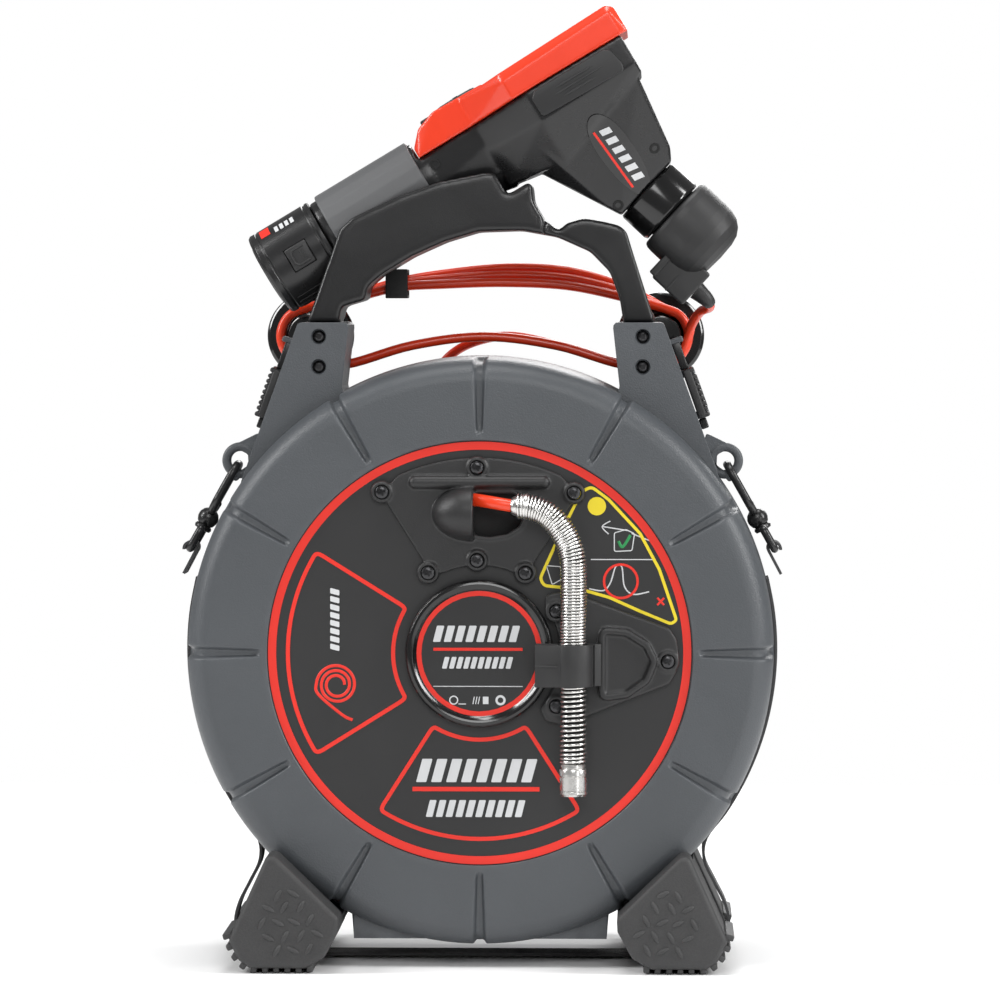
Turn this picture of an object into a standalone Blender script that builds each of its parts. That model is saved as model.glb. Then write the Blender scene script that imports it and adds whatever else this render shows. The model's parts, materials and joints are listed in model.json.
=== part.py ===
"""Pipe inspection reel with a hand-held monitor docked on its handle. +Z up, front faces -Y."""

import math

import bmesh
import bpy
from mathutils import Matrix, Vector

# Driving dimensions. Lengths below are millimetres, made metres as each mesh is built.
REEL_WIDTH = 336.0  # outside diameter of the case: scales every width and height
REEL_DEPTH = 178.0  # front foot to rear foot: scales every depth
AXIS_Z = 179.0
CASE_R = 168.0
CASE_WALL = 3.0
PANEL_R = 121.0
HUB_R = 42.0
GROOVE_COUNT = 12
GROOVE_WIDTH = 7.5
GROOVE_DEPTH = 1.8
SEAM = 0.3
CORD_R = 2.75
CORD_TURNS = 3
CABLE_R = 3.6
SPRING_R = 7.75
SPRING_WALL = 1.6
HEAD_LENGTH = 18.3
SPOOL_R = 11.5
FLANGE_R = 25.5
SPOOL_X = 102.5
SPOOL_Z = 357.8
GRIP_R = 23.0
BATTERY_R = 25.0
STRAP_WIDTH = 25.0
STRAP_THICK = 1.6
SCREW_HEAD_R = 3.6
HANDLE_HALF = 31.0
POST_BACK = 31.0
HOOK_BAR_R = 2.0
EAR_HOLE_R = 5.4

KX = REEL_WIDTH / 336.0
KY = REEL_DEPTH / 178.0
SCALE = Vector((0.001 * KX, 0.001 * KY, 0.001 * KX))
SEAM_HALF = SEAM / 2
SMOOTH_ANGLE = math.radians(31)

COLOURS = {
    "slate": (0.09, 0.1, 0.11, 0.0, 0.5),
    "black": (0.015, 0.015, 0.016, 0.0, 0.4),
    "rubber": (0.03, 0.03, 0.03, 0.0, 0.8),
    "orange": (0.9, 0.12, 0.02, 0.0, 0.4),
    "steel": (0.62, 0.62, 0.6, 1.0, 0.25),
    "dark_steel": (0.1, 0.1, 0.1, 1.0, 0.35),
    "grey": (0.18, 0.18, 0.18, 0.0, 0.6),
    "glass": (0.02, 0.025, 0.03, 0.0, 0.05),
    "webbing": (0.04, 0.04, 0.04, 0.0, 0.9),
}


def clearScene():
    for obj in list(bpy.data.objects):
        bpy.data.objects.remove(obj, do_unlink=True)


def material(name, colour):
    mat = bpy.data.materials.new(name + "_" + colour)
    mat.use_nodes = True
    shader = mat.node_tree.nodes["Principled BSDF"]
    r, g, b, metal, rough = COLOURS[colour]
    shader.inputs["Base Color"].default_value = (r, g, b, 1)
    shader.inputs["Metallic"].default_value = metal
    shader.inputs["Roughness"].default_value = rough
    mat.diffuse_color = (r, g, b, 1)
    return mat


def faceOut(bm):
    bmesh.ops.remove_doubles(bm, verts=bm.verts, dist=1e-5)
    bmesh.ops.recalc_face_normals(bm, faces=bm.faces)
    if bm.calc_volume(signed=True) < 0:
        bmesh.ops.reverse_faces(bm, faces=bm.faces)
    return bm


def solid(name, shapes, colour="black", origin=(0, 0, 0), helper=False):
    """One object from bmeshes in millimetres, its origin at the given point."""
    mesh = bpy.data.meshes.new(name)
    joined = bmesh.new()
    for bm in shapes if isinstance(shapes, (list, tuple)) else [shapes]:
        faceOut(bm)
        piece = bpy.data.meshes.new("piece")
        bm.to_mesh(piece)
        bm.free()
        joined.from_mesh(piece)
        bpy.data.meshes.remove(piece)
    at = Vector(origin) * SCALE
    for vert in joined.verts:
        vert.co = vert.co * SCALE - at
    joined.to_mesh(mesh)
    joined.free()
    obj = bpy.data.objects.new(name, mesh)
    bpy.context.scene.collection.objects.link(obj)
    obj.location = at
    if helper:
        obj.hide_render = True
        obj.display_type = "WIRE"
        return obj
    mesh.materials.append(material(name, colour))
    mesh.shade_smooth()
    mesh.set_sharp_from_angle(angle=SMOOTH_ANGLE)
    return obj


def boolean(obj, shapes, operation="DIFFERENCE"):
    helper = solid(f"{obj.name}_{operation.lower()}_{len(obj.modifiers)}", shapes, helper=True)
    modifier = obj.modifiers.new(operation.title(), "BOOLEAN")
    modifier.operation = operation
    modifier.solver = "EXACT"
    modifier.object = helper
    return obj


def union(obj, shapes):
    """Each shape in turn, so that shapes which touch each other join too."""
    for bm in shapes if isinstance(shapes, (list, tuple)) else [shapes]:
        boolean(obj, bm, "UNION")
    return obj


def prism(outline, y0, y1):
    """An (x, z) outline drawn out along Y."""
    bm = bmesh.new()
    front = [bm.verts.new((x, y0, z)) for x, z in outline]
    back = [bm.verts.new((x, y1, z)) for x, z in outline]
    bm.faces.new(front)
    bm.faces.new(back[::-1])
    for i in range(len(outline)):
        j = (i + 1) % len(outline)
        bm.faces.new((front[j], front[i], back[i], back[j]))
    return bm


def block(x0, x1, y0, y1, z0, z1):
    return prism([(x0, z0), (x1, z0), (x1, z1), (x0, z1)], y0, y1)


def frameOf(axis):
    axis = Vector(axis).normalized()
    side = Vector((0, 1, 0)) if abs(axis.y) < 0.9 else Vector((1, 0, 0))
    first = (side - axis * side.dot(axis)).normalized()
    return axis, first, axis.cross(first)


def lathe(profile, sides, origin=(0, 0, AXIS_Z), axis=(0, 1, 0)):
    """A closed (radius, distance) profile turned round an axis."""
    axis, first, second = frameOf(axis)
    origin = Vector(origin)
    bm = bmesh.new()
    rings = []
    for radius, distance in profile:
        if radius < 1e-6:
            rings.append([bm.verts.new(origin + axis * distance)] * sides)
            continue
        ring = []
        for k in range(sides):
            angle = math.tau * k / sides
            out = first * math.cos(angle) + second * math.sin(angle)
            ring.append(bm.verts.new(origin + axis * distance + out * radius))
        rings.append(ring)
    for here, there in zip(rings, rings[1:] + rings[:1]):
        for k in range(sides):
            n = (k + 1) % sides
            corners = []
            for vert in (here[k], here[n], there[n], there[k]):
                if vert not in corners:
                    corners.append(vert)
            if len(corners) > 2:
                bm.faces.new(corners)
    return bm


def cylinder(radius, start, end, sides=16):
    start, end = Vector(start), Vector(end)
    length = (end - start).length
    return lathe([(0, 0), (radius, 0), (radius, length), (0, length)], sides, start, end - start)


def sweep(points, radius, sides=8, bore=0.0):
    """A round bar, or a tube when bore is set, along a path."""
    points = [Vector(p) for p in points]
    tangents = []
    for i in range(len(points)):
        before, after = points[max(i - 1, 0)], points[min(i + 1, len(points) - 1)]
        tangents.append((after - before).normalized())
    _, first, _ = frameOf(tangents[0])
    bm = bmesh.new()
    layers = []
    for point, tangent in zip(points, tangents):
        first = (first - tangent * first.dot(tangent)).normalized()
        second = tangent.cross(first)
        pair = []
        for r in (radius, bore) if bore else (radius,):
            pair.append(
                [
                    bm.verts.new(
                        point
                        + first * (r * math.cos(math.tau * k / sides))
                        + second * (r * math.sin(math.tau * k / sides))
                    )
                    for k in range(sides)
                ]
            )
        layers.append(pair)
    for here, there in zip(layers, layers[1:]):
        for shell in range(len(here)):
            for k in range(sides):
                n = (k + 1) % sides
                quad = (here[shell][k], here[shell][n], there[shell][n], there[shell][k])
                bm.faces.new(quad if shell == 0 else quad[::-1])
    for pair, turn in ((layers[0], -1), (layers[-1], 1)):
        if not bore:
            bm.faces.new(pair[0][::turn])
            continue
        for k in range(sides):
            n = (k + 1) % sides
            quad = (pair[0][k], pair[0][n], pair[1][n], pair[1][k])
            bm.faces.new(quad[::turn])
    return bm


def cordObject(name, points, radius):
    """A round cord: a bevelled curve on the points of its route."""
    curve = bpy.data.curves.new(name, "CURVE")
    curve.dimensions = "3D"
    curve.bevel_depth = radius * 0.001 * min(KX, KY)
    curve.bevel_resolution = 2
    curve.use_fill_caps = True
    spline = curve.splines.new("POLY")
    spline.points.add(len(points) - 1)
    for point, place in zip(spline.points, points):
        point.co = (*(Vector(place) * SCALE), 1)
    curve.materials.append(material(name, "orange"))
    obj = bpy.data.objects.new(name, curve)
    bpy.context.scene.collection.objects.link(obj)
    return obj


def hull(points):
    bm = bmesh.new()
    for point in points:
        bm.verts.new(point)
    bmesh.ops.remove_doubles(bm, verts=bm.verts, dist=1e-4)
    made = bmesh.ops.convex_hull(bm, input=bm.verts)
    loose = [v for v in made["geom_interior"] if isinstance(v, bmesh.types.BMVert)]
    bmesh.ops.delete(bm, geom=loose, context="VERTS")
    unused = [v for v in bm.verts if not v.link_faces]
    bmesh.ops.delete(bm, geom=unused, context="VERTS")
    return bm


def ellipsoid(centre, semi, rows=8, columns=16):
    bm = bmesh.new()
    bmesh.ops.create_uvsphere(bm, u_segments=columns, v_segments=rows, radius=1)
    bmesh.ops.transform(
        bm, matrix=Matrix.Translation(centre) @ Matrix.Diagonal((*semi, 1)), verts=bm.verts
    )
    return bm


def polar(radius, degrees):
    angle = math.radians(degrees)
    return radius * math.cos(angle), AXIS_Z + radius * math.sin(angle)


def arc(radius, start, end, steps):
    return [polar(radius, start + (end - start) * i / steps) for i in range(steps + 1)]


def mirrored(outline, side):
    """The left outline for side -1, its mirror image for side 1."""
    return [(-side * x, z) for x, z in outline]


def wall():
    """Outline of the front half case: radius and depth."""
    outer = CASE_R
    inner = CASE_R - CASE_WALL
    return [
        (PANEL_R + 0.5, -60),
        (outer - 11.5, -60),
        (outer - 5, -57.5),
        (outer - 1, -51.5),
        (outer, -45),
        (outer, -SEAM_HALF),
        (inner, -SEAM_HALF),
        (inner, -44.5),
        (inner - 3, -52),
        (inner - 9, -57),
        (PANEL_R + 4, -57),
        (PANEL_R + 4, -51.5),
        (PANEL_R - 7, -51.5),
        (PANEL_R - 7, -54.7),
        (PANEL_R + 0.5, -54.7),
    ]


def grooves():
    """Shallow radial cuts over the ring face and round its edge."""
    r, d = CASE_R, GROOVE_DEPTH
    outline = [
        (PANEL_R + 4, -63),
        (r + 4, -63),
        (r + 4, -20),
        (r - d, -20),
        (r - d, -45),
        (r - 1 - d, -50.6),
        (r - 5.8 - d / 2, -56.5 + d / 3),
        (r - 12, -60 + d),
        (PANEL_R + 4, -60 + d),
    ]
    cutters = []
    for k in range(GROOVE_COUNT):
        angle = math.radians(90 + 360 * k / GROOVE_COUNT)
        out = Vector((math.cos(angle), 0, math.sin(angle)))
        side = Vector((-math.sin(angle), 0, math.cos(angle)))
        bm = bmesh.new()
        near, far = [], []
        for radius, depth in outline:
            for ring, sign in ((near, -1), (far, 1)):
                shift = side * (sign * GROOVE_WIDTH / 2)
                place = out * radius + shift + Vector((0, depth, AXIS_Z))
                ring.append(bm.verts.new(place))
        bm.faces.new(near)
        bm.faces.new(far[::-1])
        for i in range(len(outline)):
            j = (i + 1) % len(outline)
            bm.faces.new((near[j], near[i], far[i], far[j]))
        cutters.append(bm)
    return cutters


POST_BEND = CASE_R - 1.5
POST = [(-104, 366), (-75, 366), (-79, 330), *arc(POST_BEND, 118.3, 145.3, 5)]
BASE = [(-74, 14), (74, 14), *arc(CASE_R - 8, -62.4, -117.6, 8)]
EAR = (-139.4, 286.5)
HOOK_Y = -3.0
FOOT = [
    (-143, 19),
    (-137, 5),
    (-130, 0),
    (-96, 0),
    (-84.6, 7),
    (-77.6, 23.4),
    (-77.4, 31.7),
    (-114, 66.7),
    (-119, 66.5),
]
TONGUE_TOP = 366.0
TONGUE_LOW = 332.0


def tongueOutline(grow=0.0):
    """The left foot tongue, standing out of the case wall."""
    out = Vector((math.cos(math.radians(234)), math.sin(math.radians(234))))
    side = Vector((-out.y, out.x))
    near, far, half = CASE_R - 1.5 - grow, 192 + grow, 12.5 + grow
    corners = (near, -half), (far, -half), (far, half), (near, half)
    return [
        (out.x * r + side.x * s, AXIS_Z + out.y * r + side.y * s) for r, s in corners
    ]


def handleSocket(side):
    return block(side * 90 - 9.3, side * 90 + 9.3, -17.3, 17.3, TONGUE_LOW - 0.3, 380)


def handleScrewSpots():
    return [(side * 92.2, z) for side in (-1, 1) for z in (358.0, 340.8)]


def earOutline(side):
    """A round eye whose root runs into the case wall."""
    ring = []
    ex, ez = EAR
    toward = math.degrees(math.atan2(AXIS_Z - ez, -ex))
    for k in range(13):
        angle = math.radians(toward + 70 + 220 * k / 12)
        ring.append((ex + 10 * math.cos(angle), ez + 10 * math.sin(angle)))
    centre = math.degrees(math.atan2(ez - AXIS_Z, ex))
    ring += [polar(CASE_R - 1.5, centre + 4.5), polar(CASE_R - 1.5, centre - 4.5)]
    return mirrored(ring, side)


def buildFrontCase():
    case = solid("front_case", lathe(wall(), 48), "slate")
    boolean(case, grooves())
    for side in (-1, 1):
        union(case, prism(mirrored(POST, side), -38, -SEAM_HALF))
    union(case, prism(BASE, -46, -SEAM_HALF))
    for side in (-1, 1):
        union(case, prism(mirrored(tongueOutline(), side), -54, -26))
        union(case, prism(earOutline(side), -6, -SEAM_HALF - 0.05))
        boolean(case, handleSocket(side))
    boolean(case, block(-100, 100, -80, 20, 0, 15.3))
    holes = []
    for x, z in handleScrewSpots():
        holes.append(
            lathe(
                [(0, -45), (3.6, -45), (3.6, -34), (1.9, -34), (1.9, 10), (0, 10)],
                12,
                (x, 0, z),
            )
        )
    boolean(case, holes)
    eyes = []
    for side in (-1, 1):
        ear = Vector((-side * EAR[0], 0, EAR[1]))
        eyes.append(cylinder(EAR_HOLE_R, ear + Vector((0, -20, 0)), ear + Vector((0, 20, 0)), 16))
    boolean(case, eyes)
    return case


LATCH_E = Vector((-36, 0, -101)).normalized()
LATCH_N = Vector((LATCH_E.z, 0, -LATCH_E.x))
LATCH_O = Vector((-119, 0, 324))
LATCH_PIN_Y = 12.5
LATCH_PIN_N = 4.4


def latchPoint(side, s, y, n):
    place = LATCH_O + LATCH_E * s + LATCH_N * n
    return Vector((-side * place.x, y, place.z))


def latchAxis(side, reach):
    """The two ends of a length of the lever's pin line."""
    return [latchPoint(side, s, LATCH_PIN_Y, LATCH_PIN_N) for s in (-reach, reach)]


def latchBox(side, s0, s1, y0, y1, n0, n1):
    return hull([latchPoint(side, s, y, n) for s in (s0, s1) for y in (y0, y1) for n in (n0, n1)])


def buildRearCase():
    r, w = CASE_R, CASE_WALL
    profile = [
        (CORD_R + 0.5, 57),
        (CORD_R + 0.5, 66),
        (10, 66),
        (13, 63),
        (36, 63),
        (40, 60),
        (r - 12, 60),
        (r - 4, 55.5),
        (r, 46),
        (r, SEAM_HALF),
        (r - w, SEAM_HALF),
        (r - w, 45),
        (r - w - 4, 53.5),
        (r - w - 10, 57),
    ]
    case = solid("rear_case", lathe(profile, 48), "slate")
    for side in (-1, 1):
        union(case, prism(mirrored(POST, side), SEAM_HALF, POST_BACK))
    union(case, prism(BASE, SEAM_HALF, 46))
    for side in (-1, 1):
        union(case, prism(mirrored(tongueOutline(), side), 26, 54))
        boolean(case, handleSocket(side))
        for s0, s1 in ((-15, -10.3), (10.3, 15)):
            union(case, latchBox(side, s0, s1, 9.8, 16, -2.5, 7.6))
        union(case, cylinder(1.5, *latchAxis(side, 12), 12))
    boolean(case, block(-100, 100, -20, 80, 0, 15.3))
    holes = [cylinder(1.9, (x, -10, z), (x, 12.8, z), 12) for x, z in handleScrewSpots()]
    boolean(case, holes)
    return case


PORT_SCREWS = [(-1.3, 105.3), (-55.2, 91.4), (53.5, 90.9), (-1.3, 52.8), (-29, 45.7), (26.1, 45.7)]
BASE_SCREWS = [(43.7, 24.1), (43.7, -29.7), (106.6, -4.3)]


def screwHoles(spots, radius, y0, y1, sides=12):
    return [cylinder(radius, (x, y0, AXIS_Z + z), (x, y1, AXIS_Z + z), sides) for x, z in spots]


MOUTH_GROW = 1.3 * CABLE_R - 4.68


def mouth(grow):
    """Opening behind the hood, in the plate and the panel."""
    g = grow
    ring = [(-19 - g, 79), (-15 - g, 67 - g), (-4, 64 - g), (14 + g, 67 - g), (25 + g, 75)]
    ring += [(26 + g, 84), (18 + g, 91 + g), (-4, 92.5 + g), (-15 - g, 90 + g)]
    return [(x, AXIS_Z + z) for x, z in ring]


def buildPanels():
    panel = solid(
        "front_panel", lathe([(0, -58), (PANEL_R, -58), (PANEL_R, -55), (0, -55)], 48)
    )
    boolean(panel, prism(mouth(MOUTH_GROW + 3.4), -70, -40))
    boolean(panel, screwHoles(PORT_SCREWS + BASE_SCREWS, 1.9, -70, -40, 8))

    sector = [polar(47.5 + 3, 90 - 26), *arc(47.5, 90 - 20, 90 + 20, 6), polar(47.5 + 3, 90 + 26)]
    sector += [polar(56, 90 + 31), polar(103, 90 + 31.5), polar(108.5, 90 + 28.5)]
    sector += [*arc(111.5, 90 + 24, 90 - 24, 7), polar(108.5, 90 - 28.5), polar(103, 90 - 31.5)]
    sector += [polar(56, 90 - 31)]
    plate = solid("port_plate", prism(sector, -60.8, -58.3), "black")
    for x, z in PORT_SCREWS:
        union(plate, cylinder(5.4, (x, -62.2, AXIS_Z + z), (x, -59.5, AXIS_Z + z), 14))
    bar = [(-37, 93.2), (37, 93.2), (40, 97), (37, 100.8), (-37, 100.8), (-40, 97)]
    union(plate, prism([(x, AXIS_Z + z) for x, z in bar], -64.5, -59.5))
    hood = ellipsoid((-4, -59, AXIS_Z + 79.5), (23, 18, 15.5))
    union(plate, hood)
    boolean(plate, ellipsoid((-4, -59, AXIS_Z + 79.5), (20, 15.4, 13)))
    boolean(plate, block(-4, 40, -90, -60.8, AXIS_Z + 60, AXIS_Z + 93.0))
    boolean(plate, block(-40, 40, -58.3, -30, AXIS_Z + 55, AXIS_Z + 105))
    boolean(plate, prism(mouth(MOUTH_GROW), -62.0, -50))
    boolean(plate, screwHoles(PORT_SCREWS, 1.9, -80, -50, 8))

    rim = [(37.5, 33.5), (46, 35), (60.5, 31.5), (107.5, 14.5), (111.5, 8), (113, -1.3), (111.5, -10)]
    rim += [(107.5, -17), (60.5, -35.5), (46, -40), (37.5, -38)]
    outline = [(x, AXIS_Z + z) for x, z in rim] + arc(HUB_R + 4, -42, 36, 7)
    base = solid("clip_base", prism(outline, -62.5, -58.3), "black")
    pad = [(72, 13), (84, 12), (98, 5), (100, -4), (98, -15), (84, -23), (72, -24.5)]
    union(base, prism([(x, AXIS_Z + z) for x, z in pad], -66, -60))
    boolean(base, screwHoles(BASE_SCREWS, 1.9, -80, -50, 8))

    rim = [(0, -61.2), (34, -61.2), (36, -63.4), (40, -64), (42, -62), (42, -58.3), (0, -58.3)]
    solid("hub_cap", lathe([(r * HUB_R / 42, y) for r, y in rim], 40), "black")

    for names, spots, face in (
        ("port_screw", PORT_SCREWS, -62.2),
        ("clip_screw", BASE_SCREWS, -62.5),
    ):
        for k, (x, z) in enumerate(spots):
            profile = [
                (0, face - 2.0),
                (SCREW_HEAD_R * 0.7, face - 1.9),
                (SCREW_HEAD_R, face - 1.2),
                (SCREW_HEAD_R, face - 0.3),
                (1.5, face - 0.3),
                (1.5, -52.5),
                (0, -52.5),
            ]
            here = (x, 0, AXIS_Z + z)
            solid(f"{names}_{k + 1}", lathe(profile, 12, here), "dark_steel", (x, face, AXIS_Z + z))


CLIP_WALL = 3.2
CLIP_GAP = 0.3
SPRING_Y = -63.75 - SPRING_R - CLIP_GAP - CLIP_WALL


def springPath():
    """Centre line of the spring, from its ferrule down to the camera head."""
    turns = [(19.2, 84), (26.5, 83.6), (33.2, 82), (39, 79), (43.6, 74.8), (47.6, 69.2), (51, 62.6)]
    turns += [(52.9, 55.5), (53.4, 47), (53.4, 20), (53.4, -20), (53.4, -60.8)]
    path = []
    for i, (x, z) in enumerate(turns):
        depth = SPRING_Y + 4.5 * (1 - min(1.0, i / 7))
        path.append((x, depth, AXIS_Z + z))
    return path


def cablePath():
    """From the inside of the coil, out through the hood and on inside the spring."""
    lead = [(-107, -16, 8), (-104, -22, 34), (-93, -29, 57), (-75, -36, 74), (-55, -41.5, 84)]
    lead += [(-38, -44.5, 87.8), (-26, -47.5, 88.3), (-16, -53, 88.2), (-7, -60, 87.6), (2, -66, 86.6)]
    lead += [(10, -69.4, 85.4)]
    path = [(x, y, AXIS_Z + z) for x, y, z in lead]
    path += springPath()
    x, y, z = path[-1]
    path[-1] = (x, y, z + 3)
    return path


def buildCamera():
    cordObject("push_cable_lead", cablePath(), CABLE_R)
    path = springPath()
    solid("camera_spring", sweep(path, SPRING_R, 12, SPRING_R - SPRING_WALL), "steel")
    x, y, z = path[-1]
    top = z - 0.3
    low = top - HEAD_LENGTH
    r = SPRING_R
    profile = [
        (0, top),
        (r - 0.6, top),
        (r, top - 0.8),
        (r, low + 1.2),
        (r - 1, low),
        (5.6, low),
        (5.6, low + 2.2),
        (0, low + 2.2),
    ]
    solid("camera_head", lathe(profile, 20, (x, y, 0), (0, 0, 1)), "steel", (x, y, top))
    window = [(0, low + 1.9), (5.3, low + 1.9), (5.3, low + 0.5), (0, low + 0.5)]
    solid("camera_window", lathe(window, 16, (x, y, 0), (0, 0, 1)), "glass", (x, y, low))

    z0, z1 = AXIS_Z - 17.6, AXIS_Z + 6.1
    gap, thick = SPRING_R + CLIP_GAP, CLIP_WALL
    ring = []
    for k in range(15):
        angle = math.radians(-140 + 280 * k / 14)
        ring.append((x + (gap + thick) * math.cos(angle), y + (gap + thick) * math.sin(angle)))
    for k in range(15):
        angle = math.radians(140 - 280 * k / 14)
        ring.append((x + gap * math.cos(angle), y + gap * math.sin(angle)))
    clip = solid("camera_clip", upright(ring, z0, z1), "rubber")
    lip = [(-13.75, r + 1.65), (-13.75, r - 0.25), (-0.85, r - 2.55), (1.15, r + 0.65)]
    for sign in (-1, 1):
        union(clip, upright([(x - r + px, y + sign * py) for px, py in lip], z0, z1))
    foot = [(x + 4, y + r - 0.25), (x + r + 4.25, y + 2), (x + r + 7.85, y + 4)]
    foot += [(x + r + 7.85, -62.8), (x + 1, -62.8)]
    union(clip, upright(foot, z0, z1))


def upright(outline, z0, z1):
    """An (x, y) outline drawn out along Z."""
    bm = bmesh.new()
    low = [bm.verts.new((x, y, z0)) for x, y in outline]
    high = [bm.verts.new((x, y, z1)) for x, y in outline]
    bm.faces.new(low[::-1])
    bm.faces.new(high)
    for i in range(len(outline)):
        j = (i + 1) % len(outline)
        bm.faces.new((low[i], low[j], high[j], high[i]))
    return bm


def buildDrum():
    bore = [(12, -54), (19.6, -54), (19.6, 51), (27, 51), (27, 56.7), (12, 56.7)]
    solid("axle", lathe(bore, 24), "steel", (0, 0, AXIS_Z))
    pan = [(20.4, -44), (25, -44), (25, 44), (150, 44), (150, -37), (112, -37), (112, -40)]
    pan += [(153, -40), (153, 47), (20.4, 47)]
    solid("drum", lathe(pan, 32), "grey", (0, 0, AXIS_Z))
    coil = [(116, -12), (120, -18), (149.5, -18), (149.5, 43.7), (120, 43.7), (116, 38)]
    solid("push_cable_coil", lathe(coil, 32), "orange", (0, 0, AXIS_Z))


FOOT_GAP = STRAP_WIDTH / 2 - HOOK_Y + 1.5


def buildFeet():
    for row, (y0, y1) in {"front": (-89, -FOOT_GAP), "rear": (FOOT_GAP, 89)}.items():
        toward = 1 if row == "front" else -1
        for side, hand in ((-1, "left"), (1, "right")):
            outline = mirrored(FOOT, side)
            middle = (side * 110, (y0 + y1) / 2, 0)
            foot = solid(f"foot_{row}_{hand}", prism(outline, y0, y1), "rubber", middle)
            ends = (-60.5, 10) if row == "front" else (-10, 60.5)
            near = CASE_R + 0.4
            boolean(foot, lathe([(0, ends[0]), (near, ends[0]), (near, ends[1]), (0, ends[1])], 60))
            y = -40 * toward
            boolean(foot, prism(mirrored(tongueOutline(0.35), side), y - 14.35, y + 14.35))


CORD_PITCH = 2 * CORD_R + 0.4
SPOOL_START = POST_BACK + SEAM
SPOOL_END = SPOOL_START + 4 * CORD_PITCH + 0.5


def cordPath():
    """From the gland in the rear case, three turns round the spools, then to the plug block."""
    layer = [SPOOL_START + 0.2 + CORD_PITCH * (k + 0.5) for k in range(4)][::-1]
    reach = SPOOL_R + CORD_R + 1.9
    rear = 60 + CORD_R + 1.2
    path = [(0, 52, AXIS_Z), (0, 68, AXIS_Z), (0, 73.5, AXIS_Z + 2.5), (-1, 75.5, AXIS_Z + 9)]
    path += [(-5, 73, AXIS_Z + 24), (-18, rear + 1, AXIS_Z + 66), (-32, rear, AXIS_Z + 122)]
    path += [(-31, rear, AXIS_Z + 150), (-23, rear, AXIS_Z + 165), (-8, rear - 2, AXIS_Z + 174.5)]
    path += [(14, layer[0] + 4, 357.5), (42, layer[0], 352.2), (80, layer[0], 341.3)]
    for turn in range(CORD_TURNS):
        y, after = layer[turn], layer[turn + 1]
        path += wrap(1, -84, 84, 5, reach, y)
        rise = CORD_PITCH * 0.72 * (CORD_TURNS - 1 - turn)
        path.append((80, y * 0.9 + after * 0.1, 380.5 + rise * 0.7))
        path.append((48, y * 0.7 + after * 0.3, 387 + rise))
        path.append((12, y * 0.4 + after * 0.6, 388.8 + rise))
        path.append((-24, y * 0.1 + after * 0.9 + 1.5, 387.8 + rise * 0.7))
        path.append((-51, after + 1.6, 386.0 + rise * 0.35))
        path.append((-80, after + 0.6, 378.8 + rise * 0.2))
        path += wrap(-1, 96, 264, 5, reach, after)
        path += [(-80, after, 341.3), (-42, after, 352.2), (0, after, 357.3), (42, after, 352.2)]
        path.append((80, after, 341.3))
    y = layer[CORD_TURNS]
    path += wrap(1, -84, 0, 3, reach, y)
    path += [(120.5, y - 3, 364.5), (125.5, y - 13, 372), (130.5, 8, 374.5)]
    path += [tuple(plugPoint(70, -23, 0)), tuple(plugPoint(61.4, -23, 0))]
    return path


def wrap(side, start, end, count, reach, y):
    """Points round one spool, between two angles."""
    points = []
    for k in range(count):
        angle = math.radians(start + (end - start) * k / (count - 1))
        points.append((side * SPOOL_X + reach * math.cos(angle), y, SPOOL_Z + reach * math.sin(angle)))
    return points


NOSE = Vector((94.0, 0, 442.8))
PLUG_A = Vector((0.731, 0, -0.682)).normalized()
PLUG_B = Vector((0.682, 0, 0.731)).normalized()


def plugPoint(a, b, y):
    place = NOSE + PLUG_A * a + PLUG_B * b
    return Vector((place.x, y, place.z))


def plugBox(a0, a1, b0, b1, y):
    return hull([plugPoint(a, b, s * y) for a in (a0, a1) for b in (b0, b1) for s in (-1, 1)])


def buildCordSet():
    for side, hand in ((-1, "left"), (1, "right")):
        profile = [(0, SPOOL_START), (SPOOL_R, SPOOL_START), (SPOOL_R, SPOOL_END), (FLANGE_R - 1, SPOOL_END)]
        profile += [(FLANGE_R, SPOOL_END + 1), (FLANGE_R, SPOOL_END + 4), (FLANGE_R - 1.5, SPOOL_END + 5)]
        profile += [(0, SPOOL_END + 5)]
        at = (side * SPOOL_X, 0, SPOOL_Z)
        solid(f"cord_spool_{hand}", lathe(profile, 24, at), "black", (side * SPOOL_X, 28.3, SPOOL_Z))
    cordObject("monitor_cord", cordPath(), CORD_R)

    y0 = SPOOL_START
    y1 = SPOOL_START + CORD_TURNS * CORD_PITCH + 3.8
    low, high = 382.35 - CORD_R, 393.85 + CORD_R
    clip = solid("cord_clip", block(-57.5, -44.5, y0, y1, low, high), "black", (-51, 37, 388))
    boolean(clip, block(-60, -42, y0 + 1.6, y1 - 1.6, low + 1.6, high - 1.8))
    boolean(clip, block(-60, -42, y0 + 8, y0 + 11, 370, 385))

    body = [(0, -7.2), (9.6, -7.2), (9.6, 0.5), (16.6, 0.5), (16.6, 20.9), (22.5, 21.3), (24.2, 24)]
    body += [(24.5, 40), (23.5, 49), (19.5, 54.5), (12, 57.6), (0, 58.6)]
    plug = solid("plug_body", lathe(body, 28, NOSE, PLUG_A), "rubber", tuple(NOSE))
    union(plug, plugBox(37, 61, -35, -11, 12.3))
    ring = [(17.1, 0.8), (20.5, 0.8), (21.3, 2.5), (21.3, 18), (20.3, 20.5), (17.1, 20.5)]
    solid("coupling_ring", lathe(ring, 28, NOSE, PLUG_A), "black", tuple(NOSE))


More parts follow.
